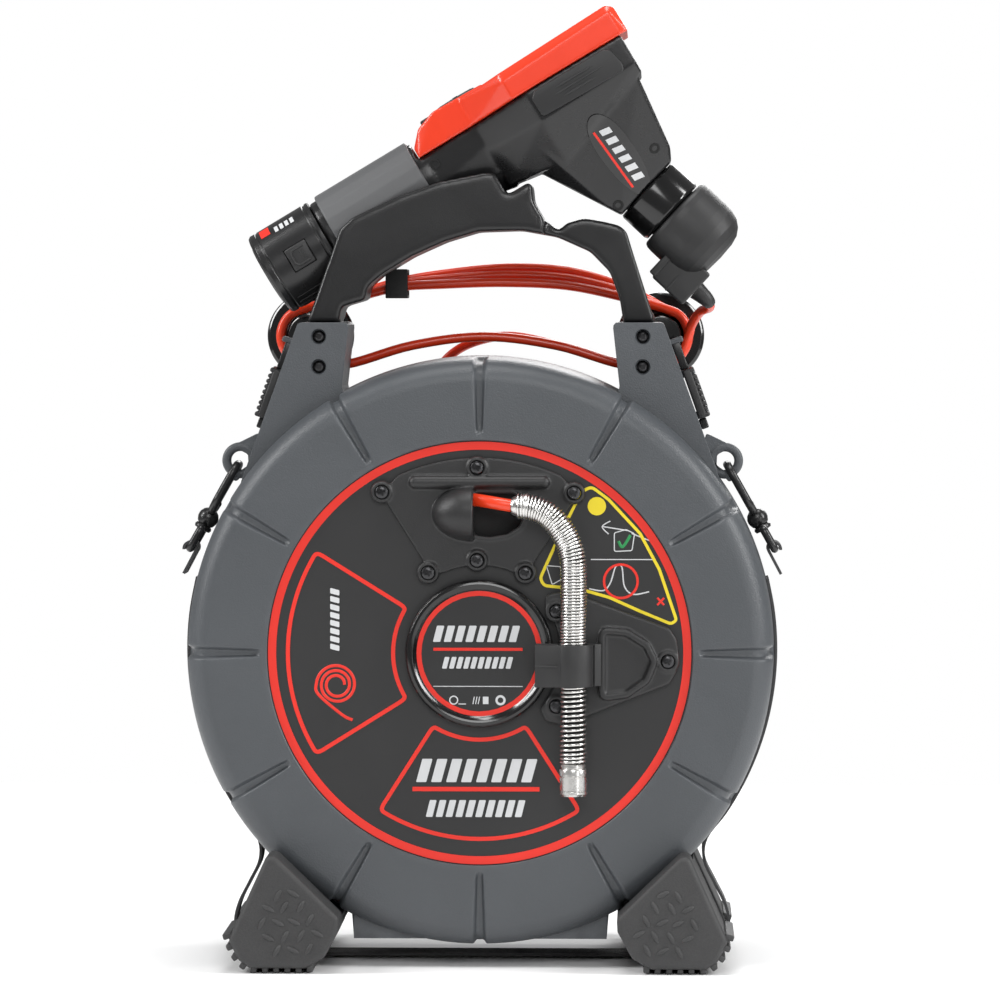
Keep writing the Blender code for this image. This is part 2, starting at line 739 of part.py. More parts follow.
HANDLE_CRADLE = [
    (-99, 366.5),
    (-98.3, 369),
    (-80.7, 419.3),
    (-73.2, 426.1),
    (-47.6, 438.1),
    (-24.8, 446.1),
    (3.7, 451.8),
    (24.2, 449.5),
    (29.1, 443.8),
    (29.9, 434.7),
    (35.6, 425),
    (36, 416.2),
    (22.5, 418.4),
    (-2, 417.6),
    (-20.8, 411.9),
    (-39.9, 403.3),
    (-56.7, 393),
    (-64.7, 386.2),
    (-66, 378.8),
    (-79.5, 374.8),
    (-81, 366.5),
]
HANDLE_ARCH = [
    (30, 434),
    (35.6, 425),
    (44.2, 418.4),
    (48.7, 422.7),
    (58.4, 425.5),
    (69.8, 423.5),
    (78.9, 421.3),
    (82.9, 417.6),
    (85.8, 407.9),
    (99, 366.5),
    (81, 366.5),
    (78.9, 379.7),
    (73.2, 394.8),
    (62.1, 406.2),
    (43, 414.7),
    (22.5, 418.4),
    (15, 420),
    (15, 434),
]
GRIP_O = Vector((-123.6, 0, 392.5))
GRIP_U = Vector((math.cos(math.radians(31)), 0, math.sin(math.radians(31))))
GRIP_V = Vector((-GRIP_U.z, 0, GRIP_U.x))
BEZEL_V = 12.3
PAD_OUT = 2.2


def grip(u, v, y=0.0):
    place = GRIP_O + GRIP_U * u + GRIP_V * v
    return Vector((place.x, y, place.z))


def gripBox(u0, u1, v0, v1, y0, y1):
    return hull([grip(u, v, y) for u in (u0, u1) for v in (v0, v1) for y in (y0, y1)])


def buildHandle():
    handle = solid("handle", prism(HANDLE_CRADLE, -HANDLE_HALF, HANDLE_HALF), "black", (0, 0, 366))
    union(handle, prism(HANDLE_ARCH, -22, 22))
    for side in (-1, 1):
        union(handle, block(side * 90 - 9, side * 90 + 9, -17, 17, TONGUE_LOW, 370))
    trough = max(BATTERY_R + 0.9, GRIP_R + PAD_OUT + 0.7)
    boolean(handle, cylinder(trough, grip(-30, 0), grip(112, 0), 28))
    boolean(handle, gripBox(-30, 112, 0.5, 70, -trough + 0.03, trough - 0.03))
    boolean(handle, gripBox(107, 146, -31.8, 70, -27.4, 27.4))
    boolean(handle, gripBox(143, 200, -31.8, 70, -60, 60))
    boolean(handle, [cylinder(1.9, (x, -30, z), (x, 30, z), 12) for x, z in handleScrewSpots()])
    for k, (x, z) in enumerate(handleScrewSpots()):
        profile = [(0, -37.4), (3.2, -37.4), (3.2, -34.3), (1.6, -34.3), (1.6, 12.4), (0, 12.4)]
        solid(f"handle_screw_{k + 1}", lathe(profile, 12, (x, 0, z)), "dark_steel", (x, -37.4, z))


def shrunk(chain, wallThickness):
    vs = [v for v, _ in chain]
    low, high = min(vs), max(vs)
    span = (high - low - 2 * wallThickness) / (high - low)
    middle = (low + high) / 2
    return [(middle + (v - middle) * span, max(h - wallThickness, 1)) for v, h in chain]


NECK = [
    (108, [(14, 17), (8, 21.4), (-8, 21.4), (-17, 14), (-22, 6)]),
    (150, [(14.5, 25.6), (0, 26), (-20, 21), (-30, 11)]),
]
HEAD = [
    (146, [(15, 25), (-5, 25.3), (-28, 17)]),
    (181, [(15, 50), (-7, 50), (-33, 34)]),
    (244, [(15, 50), (-6, 50), (-12, 43)]),
]
NOSE_TOP = [(163, -27, 20), (172, -18, 38), (241, -12, 42), (240, -22, 36)]
NOSE_END = [(188, -67, 22), (192.4, -74.8, 19.5), (232.6, -63.3, 19.5), (236.2, -56, 22.5)]


def noseHull(inset=0.0):
    points = []
    for u, v, half in NOSE_TOP + NOSE_END:
        if inset:
            u = 212 + (u - 212) * 0.86
            v = v + (4 if v < -50 else -1)
        points += [grip(u, v, side * max(half - inset, 2)) for side in (-1, 1)]
    return hull(points)


def blockOf(sections, wallThickness=0.0):
    """The hull of cross sections, each a chain of heights and half widths from top to bottom."""
    points = []
    first, last = sections[0][0], sections[-1][0]
    for u, chain in sections:
        if wallThickness:
            u += wallThickness if u == first else -wallThickness if u == last else 0
            chain = shrunk(chain, wallThickness)
        points += [grip(u, v, side * half) for v, half in chain for side in (-1, 1)]
    return hull(points)


def buildHandset():
    for name, side in (("handset_shell_near", -1), ("handset_shell_far", 1)):
        shell = solid(name, cylinder(GRIP_R, grip(41.3, 0), grip(112, 0), 22), "black", tuple(grip(110, 0)))
        union(shell, blockOf(NECK))
        union(shell, blockOf(HEAD))
        union(shell, noseHull())
        boolean(shell, blockOf(HEAD[1:], 3.2))
        boolean(shell, noseHull(3.2))
        boolean(shell, gripBox(109, 270, BEZEL_V - SEAM, 40, -70, 70))
        far = (-SEAM_HALF, 90) if side < 0 else (-90, SEAM_HALF)
        boolean(shell, block(-200, 200, *far, 300, 600))
        boolean(shell, gripBox(30, 76, -9.4, 9.4, -12.4, 12.4))
        boolean(shell, cylinder(10.1, plugPoint(-8, 0, 0), plugPoint(4, 0, 0), 20))
        if side < 0:
            boolean(shell, gripBox(188, 230, -2, 8, -56, -48.2))

    lid = [
        (110, [(18.5, 18), (BEZEL_V, 22)]),
        (118, [(27, 20), (BEZEL_V, 24)]),
        (130, [(31, 23), (BEZEL_V, 27)]),
        (162, [(30, 27), (BEZEL_V, 31)]),
    ]
    screenFrame = [
        (147, [(28.6, 27), (BEZEL_V, 30)]),
        (173, [(29, 48), (24, 51), (BEZEL_V, 51)]),
        (245, [(31, 48), (27, 51), (BEZEL_V, 51)]),
        (249, [(28, 46), (BEZEL_V, 49)]),
    ]
    both = []
    for sections in (lid, screenFrame):
        points = []
        for u, chain in sections:
            for side in (-1, 1):
                points += [grip(u, v, side * half) for v, half in chain]
        both.append(hull(points))
    bezel = solid("handset_bezel", both[0], "orange", tuple(grip(180, BEZEL_V)))
    union(bezel, both[1])
    boolean(bezel, gripBox(178, 240, 24.3, 45, -42, 42))
    boolean(bezel, gripBox(174, 242, 5, 22, -46, 46))
    boolean(bezel, gripBox(122, 166, 5, 21.5, -20, 20))
    boolean(bezel, cylinder(13.6, grip(145, 27.2), grip(145, 45), 24))
    for y in (-9, 9):
        boolean(bezel, cylinder(4.4, grip(124.5, 24.8, y), grip(124.5, 45, y), 14))
    solid("screen", gripBox(178.3, 239.7, 24.6, 26.6, -41.7, 41.7), "glass", tuple(grip(209, 24.6)))
    up = GRIP_V
    ring = [(6.2, 28.4), (13, 28.4), (13, 31.2), (12.2, 32.2), (7, 32.2), (6.2, 31.6)]
    solid("nav_ring", lathe(ring, 24, grip(145, 0), up), "rubber", tuple(grip(145, 28.4)))
    key = [(0, 28.4), (5.7, 28.4), (5.7, 31.4), (4.9, 32), (0, 32)]
    solid("select_button", lathe(key, 16, grip(145, 0), up), "grey", tuple(grip(145, 28.4)))
    key = [(0, 26), (4, 26), (4, 30), (3.4, 30.6), (0, 30.6)]
    for name, y in (("menu_button", -9), ("power_button", 9)):
        solid(name, lathe(key, 12, grip(124.5, 0, y), up), "rubber", tuple(grip(124.5, 26, y)))

    pad = []
    inner, outer = GRIP_R + 0.35, GRIP_R + PAD_OUT
    for radius, order in ((outer, range(13)), (inner, range(12, -1, -1))):
        for k in order:
            angle = math.radians(-14 + 208 * k / 12)
            pad.append((radius * math.cos(angle), radius * math.sin(angle)))
    bm = bmesh.new()
    ends = []
    for u in (46, 107):
        ends.append([bm.verts.new(grip(u, v, y)) for y, v in pad])
    bm.faces.new(ends[0])
    bm.faces.new(ends[1][::-1])
    for i in range(len(pad)):
        j = (i + 1) % len(pad)
        bm.faces.new((ends[0][j], ends[0][i], ends[1][i], ends[1][j]))
    solid("grip_pad", bm, "grey", tuple(grip(77, 0)))

    cover = [(182, -4.6), (236, -6.0), (237, -2), (235, 8), (231, 10.6), (186, 10.6), (182.5, 8)]
    points = [grip(u, v, y) for u, v in cover for y in (-50.35, -52.6)]
    solid("port_cover", hull(points), "rubber", tuple(grip(209, -5.3, -51.5)))

    end = [(0, 0), (BATTERY_R - 1.5, 0), (BATTERY_R, 1.5), (BATTERY_R, 40.9), (0, 40.9)]
    battery = solid("battery_pack", lathe(end, 28, GRIP_O, GRIP_U), "black", tuple(GRIP_O))
    union(battery, gripBox(39, 72, -9, 9, -12, 12))
    for side, name in ((-1, "near"), (1, "far")):
        y0, y1 = side * (BATTERY_R - 4.4), side * 40
        boolean(battery, gripBox(15.7, 30.3, -7.3, 7.3, min(y0, y1), max(y0, y1)))
        y0, y1 = side * (BATTERY_R - 2.6), side * (BATTERY_R + 0.7)
        release = gripBox(16, 30, -7, 7, min(y0, y1), max(y0, y1))
        solid(f"battery_release_{name}", release, "rubber", tuple(grip(23, 0, y0)))


HOOK_D = Vector((-0.491, 0, -0.871)).normalized()
HOOK_N = Vector((HOOK_D.z, 0, -HOOK_D.x))


def hookPoint(side, t, y, n=0.0):
    place = Vector((EAR[0], 0, EAR[1])) + HOOK_D * t + HOOK_N * n
    return Vector((-side * place.x, HOOK_Y + y, place.z))


def hookBox(side, t0, t1, y, n):
    return hull([hookPoint(side, t, s * y, m * n) for t in (t0, t1) for s in (-1, 1) for m in (-1, 1)])


def buildHooks():
    for side, hand in ((-1, "left"), (1, "right")):
        bend = [(36, 0), (31.5, -7), (27, -11.6), (22, -12.5), (9.5, -12.5), (5, -10.5), (3, -6.5)]
        bend += [(2.7, 0), (3, 6.5), (5, 10.5), (9.2, 12.5)]
        at = tuple(hookPoint(side, 0, 0))
        bar = sweep([hookPoint(side, t, y) for t, y in bend], HOOK_BAR_R, 8)
        hook = solid(f"snap_hook_{hand}", bar, "black", at)
        stub = [(36, 0), (33, 6.5), (31.2, 11.6), (29.3, 12.5)]
        union(hook, sweep([hookPoint(side, t, y) for t, y in stub], HOOK_BAR_R, 8))
        profile = [(0, 32.5), (3.4, 33), (5.6, 35.5), (6, 38), (5.6, 41), (3.6, 43.2), (0, 43.6)]
        axis = hookPoint(side, 1, 0) - hookPoint(side, 0, 0)
        union(hook, lathe(profile, 14, hookPoint(side, 0, 0), axis))
        union(hook, hookBox(side, 42, 60, STRAP_WIDTH / 2 + 3.5, 2.3))
        boolean(hook, hookBox(side, 46.5, 55.4, STRAP_WIDTH / 2 + 0.7, 5))
        gate = sweep([hookPoint(side, 28.3, 12.5), hookPoint(side, 10, 12.5)], HOOK_BAR_R * 0.85, 8)
        solid(f"snap_gate_{hand}", gate, "steel", tuple(hookPoint(side, 26.8, 12.5)))


def ribbon(line, thick):
    """Outline of a strip of even thickness about an (x, z) line."""
    left, right = [], []
    for i, point in enumerate(line):
        before, after = line[max(i - 1, 0)], line[min(i + 1, len(line) - 1)]
        run = Vector((after[0] - before[0], after[1] - before[1])).normalized()
        left.append((point[0] - run.y * thick / 2, point[1] + run.x * thick / 2))
        right.append((point[0] + run.y * thick / 2, point[1] - run.x * thick / 2))
    return left + right[::-1]


def buildStrap():
    """A slack strap down both sides of the case and under the base, with a sewn loop on each hook."""
    close = CASE_R + 0.6 + STRAP_THICK / 2
    half = [polar(close, a) for a in range(166, 214, 6)]
    half += [(-141.5, 78), (-140.2, 62), (-141.5, 48), (-143.6, 34), (-143, 20), (-137, 9)]
    half += [(-125, 3.2)]
    half += [(-100, 2.0), (-50, 1.9)]
    line = half + [(-x, z) for x, z in half[::-1]]
    y0, y1 = HOOK_Y - STRAP_WIDTH / 2, HOOK_Y + STRAP_WIDTH / 2
    solid("shoulder_strap", prism(ribbon(line, STRAP_THICK), y0, y1), "webbing", (0, HOOK_Y, 2))
    bar = Vector((EAR[0], 0, EAR[1])) + HOOK_D * 57.7
    turn = 3.25 + SEAM + STRAP_THICK / 2
    down = math.degrees(math.atan2(HOOK_D.z, HOOK_D.x))
    loop = []
    for k in range(9):
        angle = math.radians(down + 82 + 225 * k / 8)
        loop.append((bar.x + turn * math.cos(angle), bar.z + turn * math.sin(angle)))
    loop.insert(0, (loop[0][0] + HOOK_D.x * 14 + 0.4, loop[0][1] + HOOK_D.z * 14))
    for side, hand in ((-1, "left"), (1, "right")):
        outline = mirrored(ribbon(loop, STRAP_THICK), side)
        at = tuple(hookPoint(side, 57.7, 0))
        solid(f"strap_end_{hand}", prism(outline, y0 + 0.3, y1 - 0.3), "webbing", at)


def buildLatches():
    for side, hand in ((-1, "left"), (1, "right")):
        lever = latchBox(side, -14.7, 14.7, -13, LATCH_PIN_Y - 5.5, 0.5, 7.6)
        at = tuple(latchPoint(side, 0, LATCH_PIN_Y, LATCH_PIN_N))
        obj = solid(f"side_latch_{hand}", lever, "rubber", at)
        union(obj, latchBox(side, -9.9, 9.9, LATCH_PIN_Y - 8, LATCH_PIN_Y - 2, 1.2, 7.2))
        union(obj, cylinder(3.5, *latchAxis(side, 9.9), 14))
        boolean(obj, cylinder(1.85, *latchAxis(side, 16), 14))


clearScene()
buildFrontCase()
buildRearCase()
buildPanels()
buildCamera()
buildDrum()
buildFeet()
buildCordSet()
buildHandle()
buildHandset()
buildHooks()
buildStrap()
buildLatches()
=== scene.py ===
import json
import math

import bmesh
import bpy
from mathutils import Matrix, Vector
from mathutils.bvhtree import BVHTree


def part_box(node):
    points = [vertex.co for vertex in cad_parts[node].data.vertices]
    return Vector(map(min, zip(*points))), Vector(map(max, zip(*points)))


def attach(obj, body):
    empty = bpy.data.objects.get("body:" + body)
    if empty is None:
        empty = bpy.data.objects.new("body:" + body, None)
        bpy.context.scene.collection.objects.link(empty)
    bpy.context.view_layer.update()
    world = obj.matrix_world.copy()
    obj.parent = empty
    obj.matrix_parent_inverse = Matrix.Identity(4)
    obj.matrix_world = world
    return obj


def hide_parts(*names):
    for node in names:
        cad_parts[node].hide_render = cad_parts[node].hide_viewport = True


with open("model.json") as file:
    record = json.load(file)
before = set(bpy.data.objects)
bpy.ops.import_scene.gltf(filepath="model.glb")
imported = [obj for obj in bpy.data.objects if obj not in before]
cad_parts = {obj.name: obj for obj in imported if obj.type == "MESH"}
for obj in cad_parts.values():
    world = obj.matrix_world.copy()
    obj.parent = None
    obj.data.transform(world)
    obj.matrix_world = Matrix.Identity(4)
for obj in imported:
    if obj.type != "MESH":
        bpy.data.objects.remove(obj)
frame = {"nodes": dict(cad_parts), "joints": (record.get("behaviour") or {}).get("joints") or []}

# Lengths in this script are millimetres until a mesh is finished; mm makes them metres.
mm = 0.001
farInFront = -300  # where a ray towards the object's face starts
for startupName in ("Cube", "Light", "Camera"):
    if startupName in bpy.data.objects:
        bpy.data.objects.remove(bpy.data.objects[startupName])
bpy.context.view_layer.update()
joints = {joint["name"]: joint for joint in frame["joints"]}
print("frame loaded:", len(frame["nodes"]), "nodes")


def middle(node):
    low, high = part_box(node)
    return (low + high) / 2 / mm


def lowCorner(node):
    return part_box(node)[0] / mm


def highCorner(node):
    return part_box(node)[1] / mm


# places taken from the frame
axisZ = middle("hub_cap").z
caseR = highCorner("rear_case").x
panelR = (highCorner("front_panel").x - lowCorner("front_panel").x) / 2
panelY = lowCorner("front_panel").y
gripU = Vector(joints["cover_hinge"]["axis"])
gripV = Vector((-gripU.z, 0, gripU.x))
gripO = middle("nav_ring") - gripU * 145 - gripV * 30.3
plugA = -Vector(joints["handset_lift"]["axis"])
plugB = Vector((-plugA.z, 0, plugA.x))
nose = middle("coupling_ring") - plugA * 10.65


def grip(u, v, y=0.0):
    place = gripO + gripU * u + gripV * v
    return Vector((place.x, y, place.z))


def plugPoint(a, b, y=0.0):
    place = nose + plugA * a + plugB * b
    return Vector((place.x, y, place.z))


def polar(radius, degrees):
    angle = math.radians(degrees)
    return radius * math.cos(angle), axisZ + radius * math.sin(angle)


def arc(radius, start, end, steps):
    return [polar(radius, start + (end - start) * i / steps) for i in range(steps + 1)]


# shader node groups, each built once
def addNode(tree, kind, inputs=None, **settings):
    made = tree.nodes.new(kind)
    for key, value in settings.items():
        setattr(made, key, value)
    for key, value in (inputs or {}).items():
        if isinstance(value, bpy.types.NodeSocket):
            tree.links.new(value, made.inputs[key])
        else:
            made.inputs[key].default_value = value
    return made


def newGroup(name, inputs, outputs):
    group = bpy.data.node_groups.new(name, "ShaderNodeTree")
    for label, kind, value in inputs:
        socket = group.interface.new_socket(label, in_out="INPUT", socket_type=kind)
        socket.default_value = value
    for label, kind in outputs:
        group.interface.new_socket(label, in_out="OUTPUT", socket_type=kind)
    return group, group.nodes.new("NodeGroupInput"), group.nodes.new("NodeGroupOutput")


def grainGroup():
    # fine pebble of a mould's textured wall, with a slower unevenness under it
    group, source, sink = newGroup(
        "mouldedGrain",
        [("Grain Size", "NodeSocketFloat", 0.001), ("Unevenness", "NodeSocketFloat", 0.3)],
        [("Height", "NodeSocketFloat"), ("Speckle", "NodeSocketFloat")],
    )
    place = addNode(group, "ShaderNodeTexCoord")
    scale = addNode(
        group, "ShaderNodeMath", {0: 1.0, 1: source.outputs["Grain Size"]}, operation="DIVIDE"
    )
    fine = addNode(
        group,
        "ShaderNodeTexNoise",
        {"Vector": place.outputs["Object"], "Scale": scale.outputs[0], "Detail": 3.0, "Roughness": 0.6},
    )
    slow = addNode(
        group,
        "ShaderNodeTexNoise",
        {"Vector": place.outputs["Object"], "Scale": 22.0, "Detail": 2.0},
    )
    slowPart = addNode(
        group,
        "ShaderNodeMath",
        {0: slow.outputs["Fac"], 1: source.outputs["Unevenness"]},
        operation="MULTIPLY",
    )
    total = addNode(
        group, "ShaderNodeMath", {0: fine.outputs["Fac"], 1: slowPart.outputs[0]}, operation="ADD"
    )
    group.links.new(total.outputs[0], sink.inputs["Height"])
    group.links.new(fine.outputs["Fac"], sink.inputs["Speckle"])
    return group


def wearGroup():
    # convex edges rubbed by handling, broken up by noise
    group, source, sink = newGroup(
        "edgeWear",
        [("Amount", "NodeSocketFloat", 0.5), ("Break Up", "NodeSocketFloat", 90.0)],
        [("Mask", "NodeSocketFloat")],
    )
    shape = addNode(group, "ShaderNodeNewGeometry")
    edge = addNode(
        group,
        "ShaderNodeMapRange",
        {"Value": shape.outputs["Pointiness"], "From Min": 0.51, "From Max": 0.6},
    )
    place = addNode(group, "ShaderNodeTexCoord")
    noise = addNode(
        group,
        "ShaderNodeTexNoise",
        {"Vector": place.outputs["Object"], "Scale": source.outputs["Break Up"], "Detail": 4.0},
    )
    broken = addNode(
        group,
        "ShaderNodeMapRange",
        {"Value": noise.outputs["Fac"], "From Min": 0.35, "From Max": 0.65},
    )
    both = addNode(
        group, "ShaderNodeMath", {0: edge.outputs[0], 1: broken.outputs[0]}, operation="MULTIPLY"
    )
    scaled = addNode(
        group, "ShaderNodeMath", {0: both.outputs[0], 1: source.outputs["Amount"]}, operation="MULTIPLY"
    )
    group.links.new(scaled.outputs[0], sink.inputs["Mask"])
    return group


def smudgeGroup():
    # faint cloudy marks that change the sheen
    group, source, sink = newGroup(
        "handlingMarks",
        [("Scale", "NodeSocketFloat", 14.0), ("Low", "NodeSocketFloat", 0.4),
         ("High", "NodeSocketFloat", 0.5)],
        [("Roughness", "NodeSocketFloat"), ("Mask", "NodeSocketFloat")],
    )
    place = addNode(group, "ShaderNodeTexCoord")
    cloud = addNode(
        group,
        "ShaderNodeTexNoise",
        {
            "Vector": place.outputs["Object"],
            "Scale": source.outputs["Scale"],
            "Detail": 6.0,
            "Roughness": 0.6,
            "Distortion": 0.6,
        },
    )
    spread = addNode(
        group,
        "ShaderNodeMapRange",
        {
            "Value": cloud.outputs["Fac"],
            "From Min": 0.3,
            "From Max": 0.7,
            "To Min": source.outputs["Low"],
            "To Max": source.outputs["High"],
        },
    )
    group.links.new(spread.outputs[0], sink.inputs["Roughness"])
    group.links.new(cloud.outputs["Fac"], sink.inputs["Mask"])
    return group


def weaveGroup():
    # ribs and crossing threads of a woven strap, on the piece's own UV in millimetres
    group, source, sink = newGroup(
        "strapWeave",
        [("Rib Pitch", "NodeSocketFloat", 1.6)],
        [("Height", "NodeSocketFloat"), ("Thread", "NodeSocketFloat")],
    )
    place = addNode(group, "ShaderNodeTexCoord")
    parts = addNode(group, "ShaderNodeSeparateXYZ", {0: place.outputs["UV"]})
    waves = []
    for axis, share in (("X", 1.0), ("Y", 0.62)):
        turns = addNode(
            group,
            "ShaderNodeMath",
            {0: parts.outputs[axis], 1: source.outputs["Rib Pitch"]},
            operation="DIVIDE",
        )
        angle = addNode(group, "ShaderNodeMath", {0: turns.outputs[0], 1: math.tau / share},
                        operation="MULTIPLY")
        wave = addNode(group, "ShaderNodeMath", {0: angle.outputs[0]}, operation="SINE")
        waves.append(wave)
    cross = addNode(
        group, "ShaderNodeMath", {0: waves[0].outputs[0], 1: waves[1].outputs[0]}, operation="MULTIPLY"
    )
    height = addNode(
        group, "ShaderNodeMath", {0: cross.outputs[0], 1: 0.5, 2: 0.5}, operation="MULTIPLY_ADD"
    )
    fibres = addNode(
        group, "ShaderNodeTexNoise", {"Vector": place.outputs["UV"], "Scale": 3.0, "Detail": 4.0}
    )
    group.links.new(height.outputs[0], sink.inputs["Height"])
    group.links.new(fibres.outputs["Fac"], sink.inputs["Thread"])
    return group


grain = grainGroup()
edgeWear = wearGroup()
handlingMarks = smudgeGroup()
strapWeave = weaveGroup()


def useGroup(tree, group, values):
    made = tree.nodes.new("ShaderNodeGroup")
    made.node_tree = group
    for key, value in values.items():
        made.inputs[key].default_value = value
    return made


# materials
finishes = {
    "caseSlate": {
        "colour": (0.067, 0.073, 0.08),
        "rough": (0.34, 0.42),
        "grain": (0.0009, 0.25),
        "bump": 0.00022,
        "wear": 0.25,
    },
    "panelVinyl": {"colour": (0.015, 0.015, 0.0154), "rough": (0.42, 0.55), "grain": (0.0005, 0.2),
                   "bump": 0.00004},
    "mouldedBlack": {
        "colour": (0.011, 0.011, 0.0115),
        "rough": (0.24, 0.34),
        "grain": (0.0006, 0.3),
        "bump": 0.00005,
        "wear": 0.2,
    },
    "plateBlack": {
        "colour": (0.016, 0.016, 0.0165),
        "rough": (0.38, 0.48),
        "grain": (0.0007, 0.3),
        "bump": 0.0001,
        "wear": 0.3,
    },
    "glossBlack": {"colour": (0.006, 0.006, 0.0062), "rough": (0.1, 0.18), "grain": (0.004, 0.2),
                   "bump": 0.00002},
    "softTouch": {
        "colour": (0.016, 0.016, 0.0165),
        "rough": (0.42, 0.54),
        "grain": (0.0005, 0.2),
        "bump": 0.00006,
        "wear": 0.2,
    },
    "blackRubber": {
        "colour": (0.027, 0.027, 0.0275),
        "rough": (0.46, 0.62),
        "grain": (0.0008, 0.5),
        "bump": 0.0001,
        "wear": 0.45,
        "specks": 0.15,
    },
    "greyOvermould": {
        "colour": (0.095, 0.097, 0.1),
        "rough": (0.44, 0.54),
        "grain": (0.0005, 0.2),
        "bump": 0.00008,
        "wear": 0.15,
    },
    "orangeShell": {
        "colour": (0.75, 0.04, 0.009),
        "rough": (0.26, 0.34),
        "grain": (0.0007, 0.2),
        "bump": 0.00003,
        "wear": 0.1,
    },
    "orangeJacket": {"colour": (0.8, 0.045, 0.008), "rough": (0.26, 0.36), "grain": (0.0016, 0.4),
                     "bump": 0.00006},
    "printRed": {"colour": (0.74, 0.022, 0.01), "rough": (0.4, 0.5), "grain": (0.0005, 0.1),
                 "bump": 0.00002},
    "printYellow": {"colour": (0.78, 0.62, 0.02), "rough": (0.4, 0.5), "grain": (0.0005, 0.1),
                    "bump": 0.00002},
    "printWhite": {"colour": (0.6, 0.61, 0.62), "rough": (0.4, 0.5), "grain": (0.0005, 0.1),
                   "bump": 0.00002},
    "printGreen": {"colour": (0.015, 0.26, 0.07), "rough": (0.4, 0.5), "grain": (0.0005, 0.1),
                   "bump": 0.00002},
    # near-black for the sheets, bars and discs set in holes and hollows: painted shade
    "paintedShadeBlack": {"colour": (0.003, 0.003, 0.003), "rough": (0.7, 0.85), "grain": (0.001, 0.2),
                "bump": 0.00005},
    "drumGrey": {"colour": (0.16, 0.16, 0.155), "rough": (0.45, 0.6), "grain": (0.0009, 0.4),
                 "bump": 0.0001},
}


def mouldedMaterial(name, finish):
    material = bpy.data.materials.new(name)
    material.use_nodes = True
    tree = material.node_tree
    shader = tree.nodes["Principled BSDF"]
    red, green, blue = finish["colour"]
    base = (red, green, blue, 1)
    size, uneven = finish["grain"]
    pebble = useGroup(tree, grain, {"Grain Size": size, "Unevenness": uneven})
    marks = useGroup(tree, handlingMarks, {"Low": finish["rough"][0], "High": finish["rough"][1]})
    tree.links.new(marks.outputs["Roughness"], shader.inputs["Roughness"])
    tint = addNode(
        tree,
        "ShaderNodeMix",
        {
            "Factor": marks.outputs["Mask"],
            6: (red * 0.88, green * 0.88, blue * 0.88, 1),
            7: (min(red * 1.12, 1), min(green * 1.12, 1), min(blue * 1.12, 1), 1),
        },
        data_type="RGBA",
    )
    colour = tint.outputs[2]
    if finish.get("specks"):
        lift = finish["specks"]
        spread = addNode(
            tree,
            "ShaderNodeMapRange",
            {"Value": pebble.outputs["Speckle"], "From Min": 0.35, "From Max": 0.68, "To Max": 1.0},
        )
        lighter = (min(red * (1 + 3 * lift), 1), min(green * (1 + 3 * lift), 1),
                   min(blue * (1 + 3 * lift), 1), 1)
        speckled = addNode(
            tree, "ShaderNodeMix", {"Factor": spread.outputs[0], 6: colour, 7: lighter}, data_type="RGBA"
        )
        colour = speckled.outputs[2]
    if finish.get("wear"):
        worn = useGroup(tree, edgeWear, {"Amount": finish["wear"]})
        paler = (min(red * 2 + 0.03, 1), min(green * 2 + 0.03, 1), min(blue * 2 + 0.03, 1), 1)
        rubbed = addNode(
            tree, "ShaderNodeMix", {"Factor": worn.outputs["Mask"], 6: colour, 7: paler}, data_type="RGBA"
        )
        colour = rubbed.outputs[2]
    tree.links.new(colour, shader.inputs["Base Color"])
    bump = addNode(tree, "ShaderNodeBump", {"Distance": finish["bump"], "Height": pebble.outputs["Height"]})
    tree.links.new(bump.outputs["Normal"], shader.inputs["Normal"])
    material.diffuse_color = base
    return material


def metalMaterial(name, colour, rough, streak):
    darker = 0.75  # tone of the darker streaks
    material = bpy.data.materials.new(name)
    material.use_nodes = True
    tree = material.node_tree
    shader = tree.nodes["Principled BSDF"]
    shader.inputs["Metallic"].default_value = 1.0
    marks = useGroup(tree, handlingMarks, {"Scale": streak, "Low": rough * 0.75, "High": rough * 1.35})
    pebble = useGroup(tree, grain, {"Grain Size": 0.0003, "Unevenness": 0.2})
    tint = addNode(
        tree,
        "ShaderNodeMix",
        {
            "Factor": marks.outputs["Mask"],
            6: (colour[0] * darker, colour[1] * darker, colour[2] * darker, 1),
            7: (*colour, 1),
        },
        data_type="RGBA",
    )
    bump = addNode(tree, "ShaderNodeBump", {"Distance": 0.00001, "Height": pebble.outputs["Height"]})
    tree.links.new(tint.outputs[2], shader.inputs["Base Color"])
    tree.links.new(marks.outputs["Roughness"], shader.inputs["Roughness"])
    tree.links.new(bump.outputs["Normal"], shader.inputs["Normal"])
    material.diffuse_color = (*colour, 1)
    return material


def webbingMaterial():
    material = bpy.data.materials.new("wovenStrap")
    material.use_nodes = True
    tree = material.node_tree
    shader = tree.nodes["Principled BSDF"]
    shader.inputs["Roughness"].default_value = 0.82
    shader.inputs["Sheen Weight"].default_value = 0.3
    weave = useGroup(tree, strapWeave, {"Rib Pitch": 1.6})
    # colour follows the weave's height, darker in its low places: painted shade between the threads
    tint = addNode(
        tree,
        "ShaderNodeMix",
        {"Factor": weave.outputs["Height"], 6: (0.008, 0.008, 0.008, 1), 7: (0.045, 0.045, 0.047, 1)},
        data_type="RGBA",
    )
    fuzz = addNode(
        tree,
        "ShaderNodeMix",
        {"Factor": weave.outputs["Thread"], 6: tint.outputs[2], 7: (0.06, 0.06, 0.062, 1)},
        data_type="RGBA",
    )
    bump = addNode(tree, "ShaderNodeBump", {"Distance": 0.0004, "Height": weave.outputs["Height"]})
    tree.links.new(fuzz.outputs[2], shader.inputs["Base Color"])
    tree.links.new(bump.outputs["Normal"], shader.inputs["Normal"])
    return material


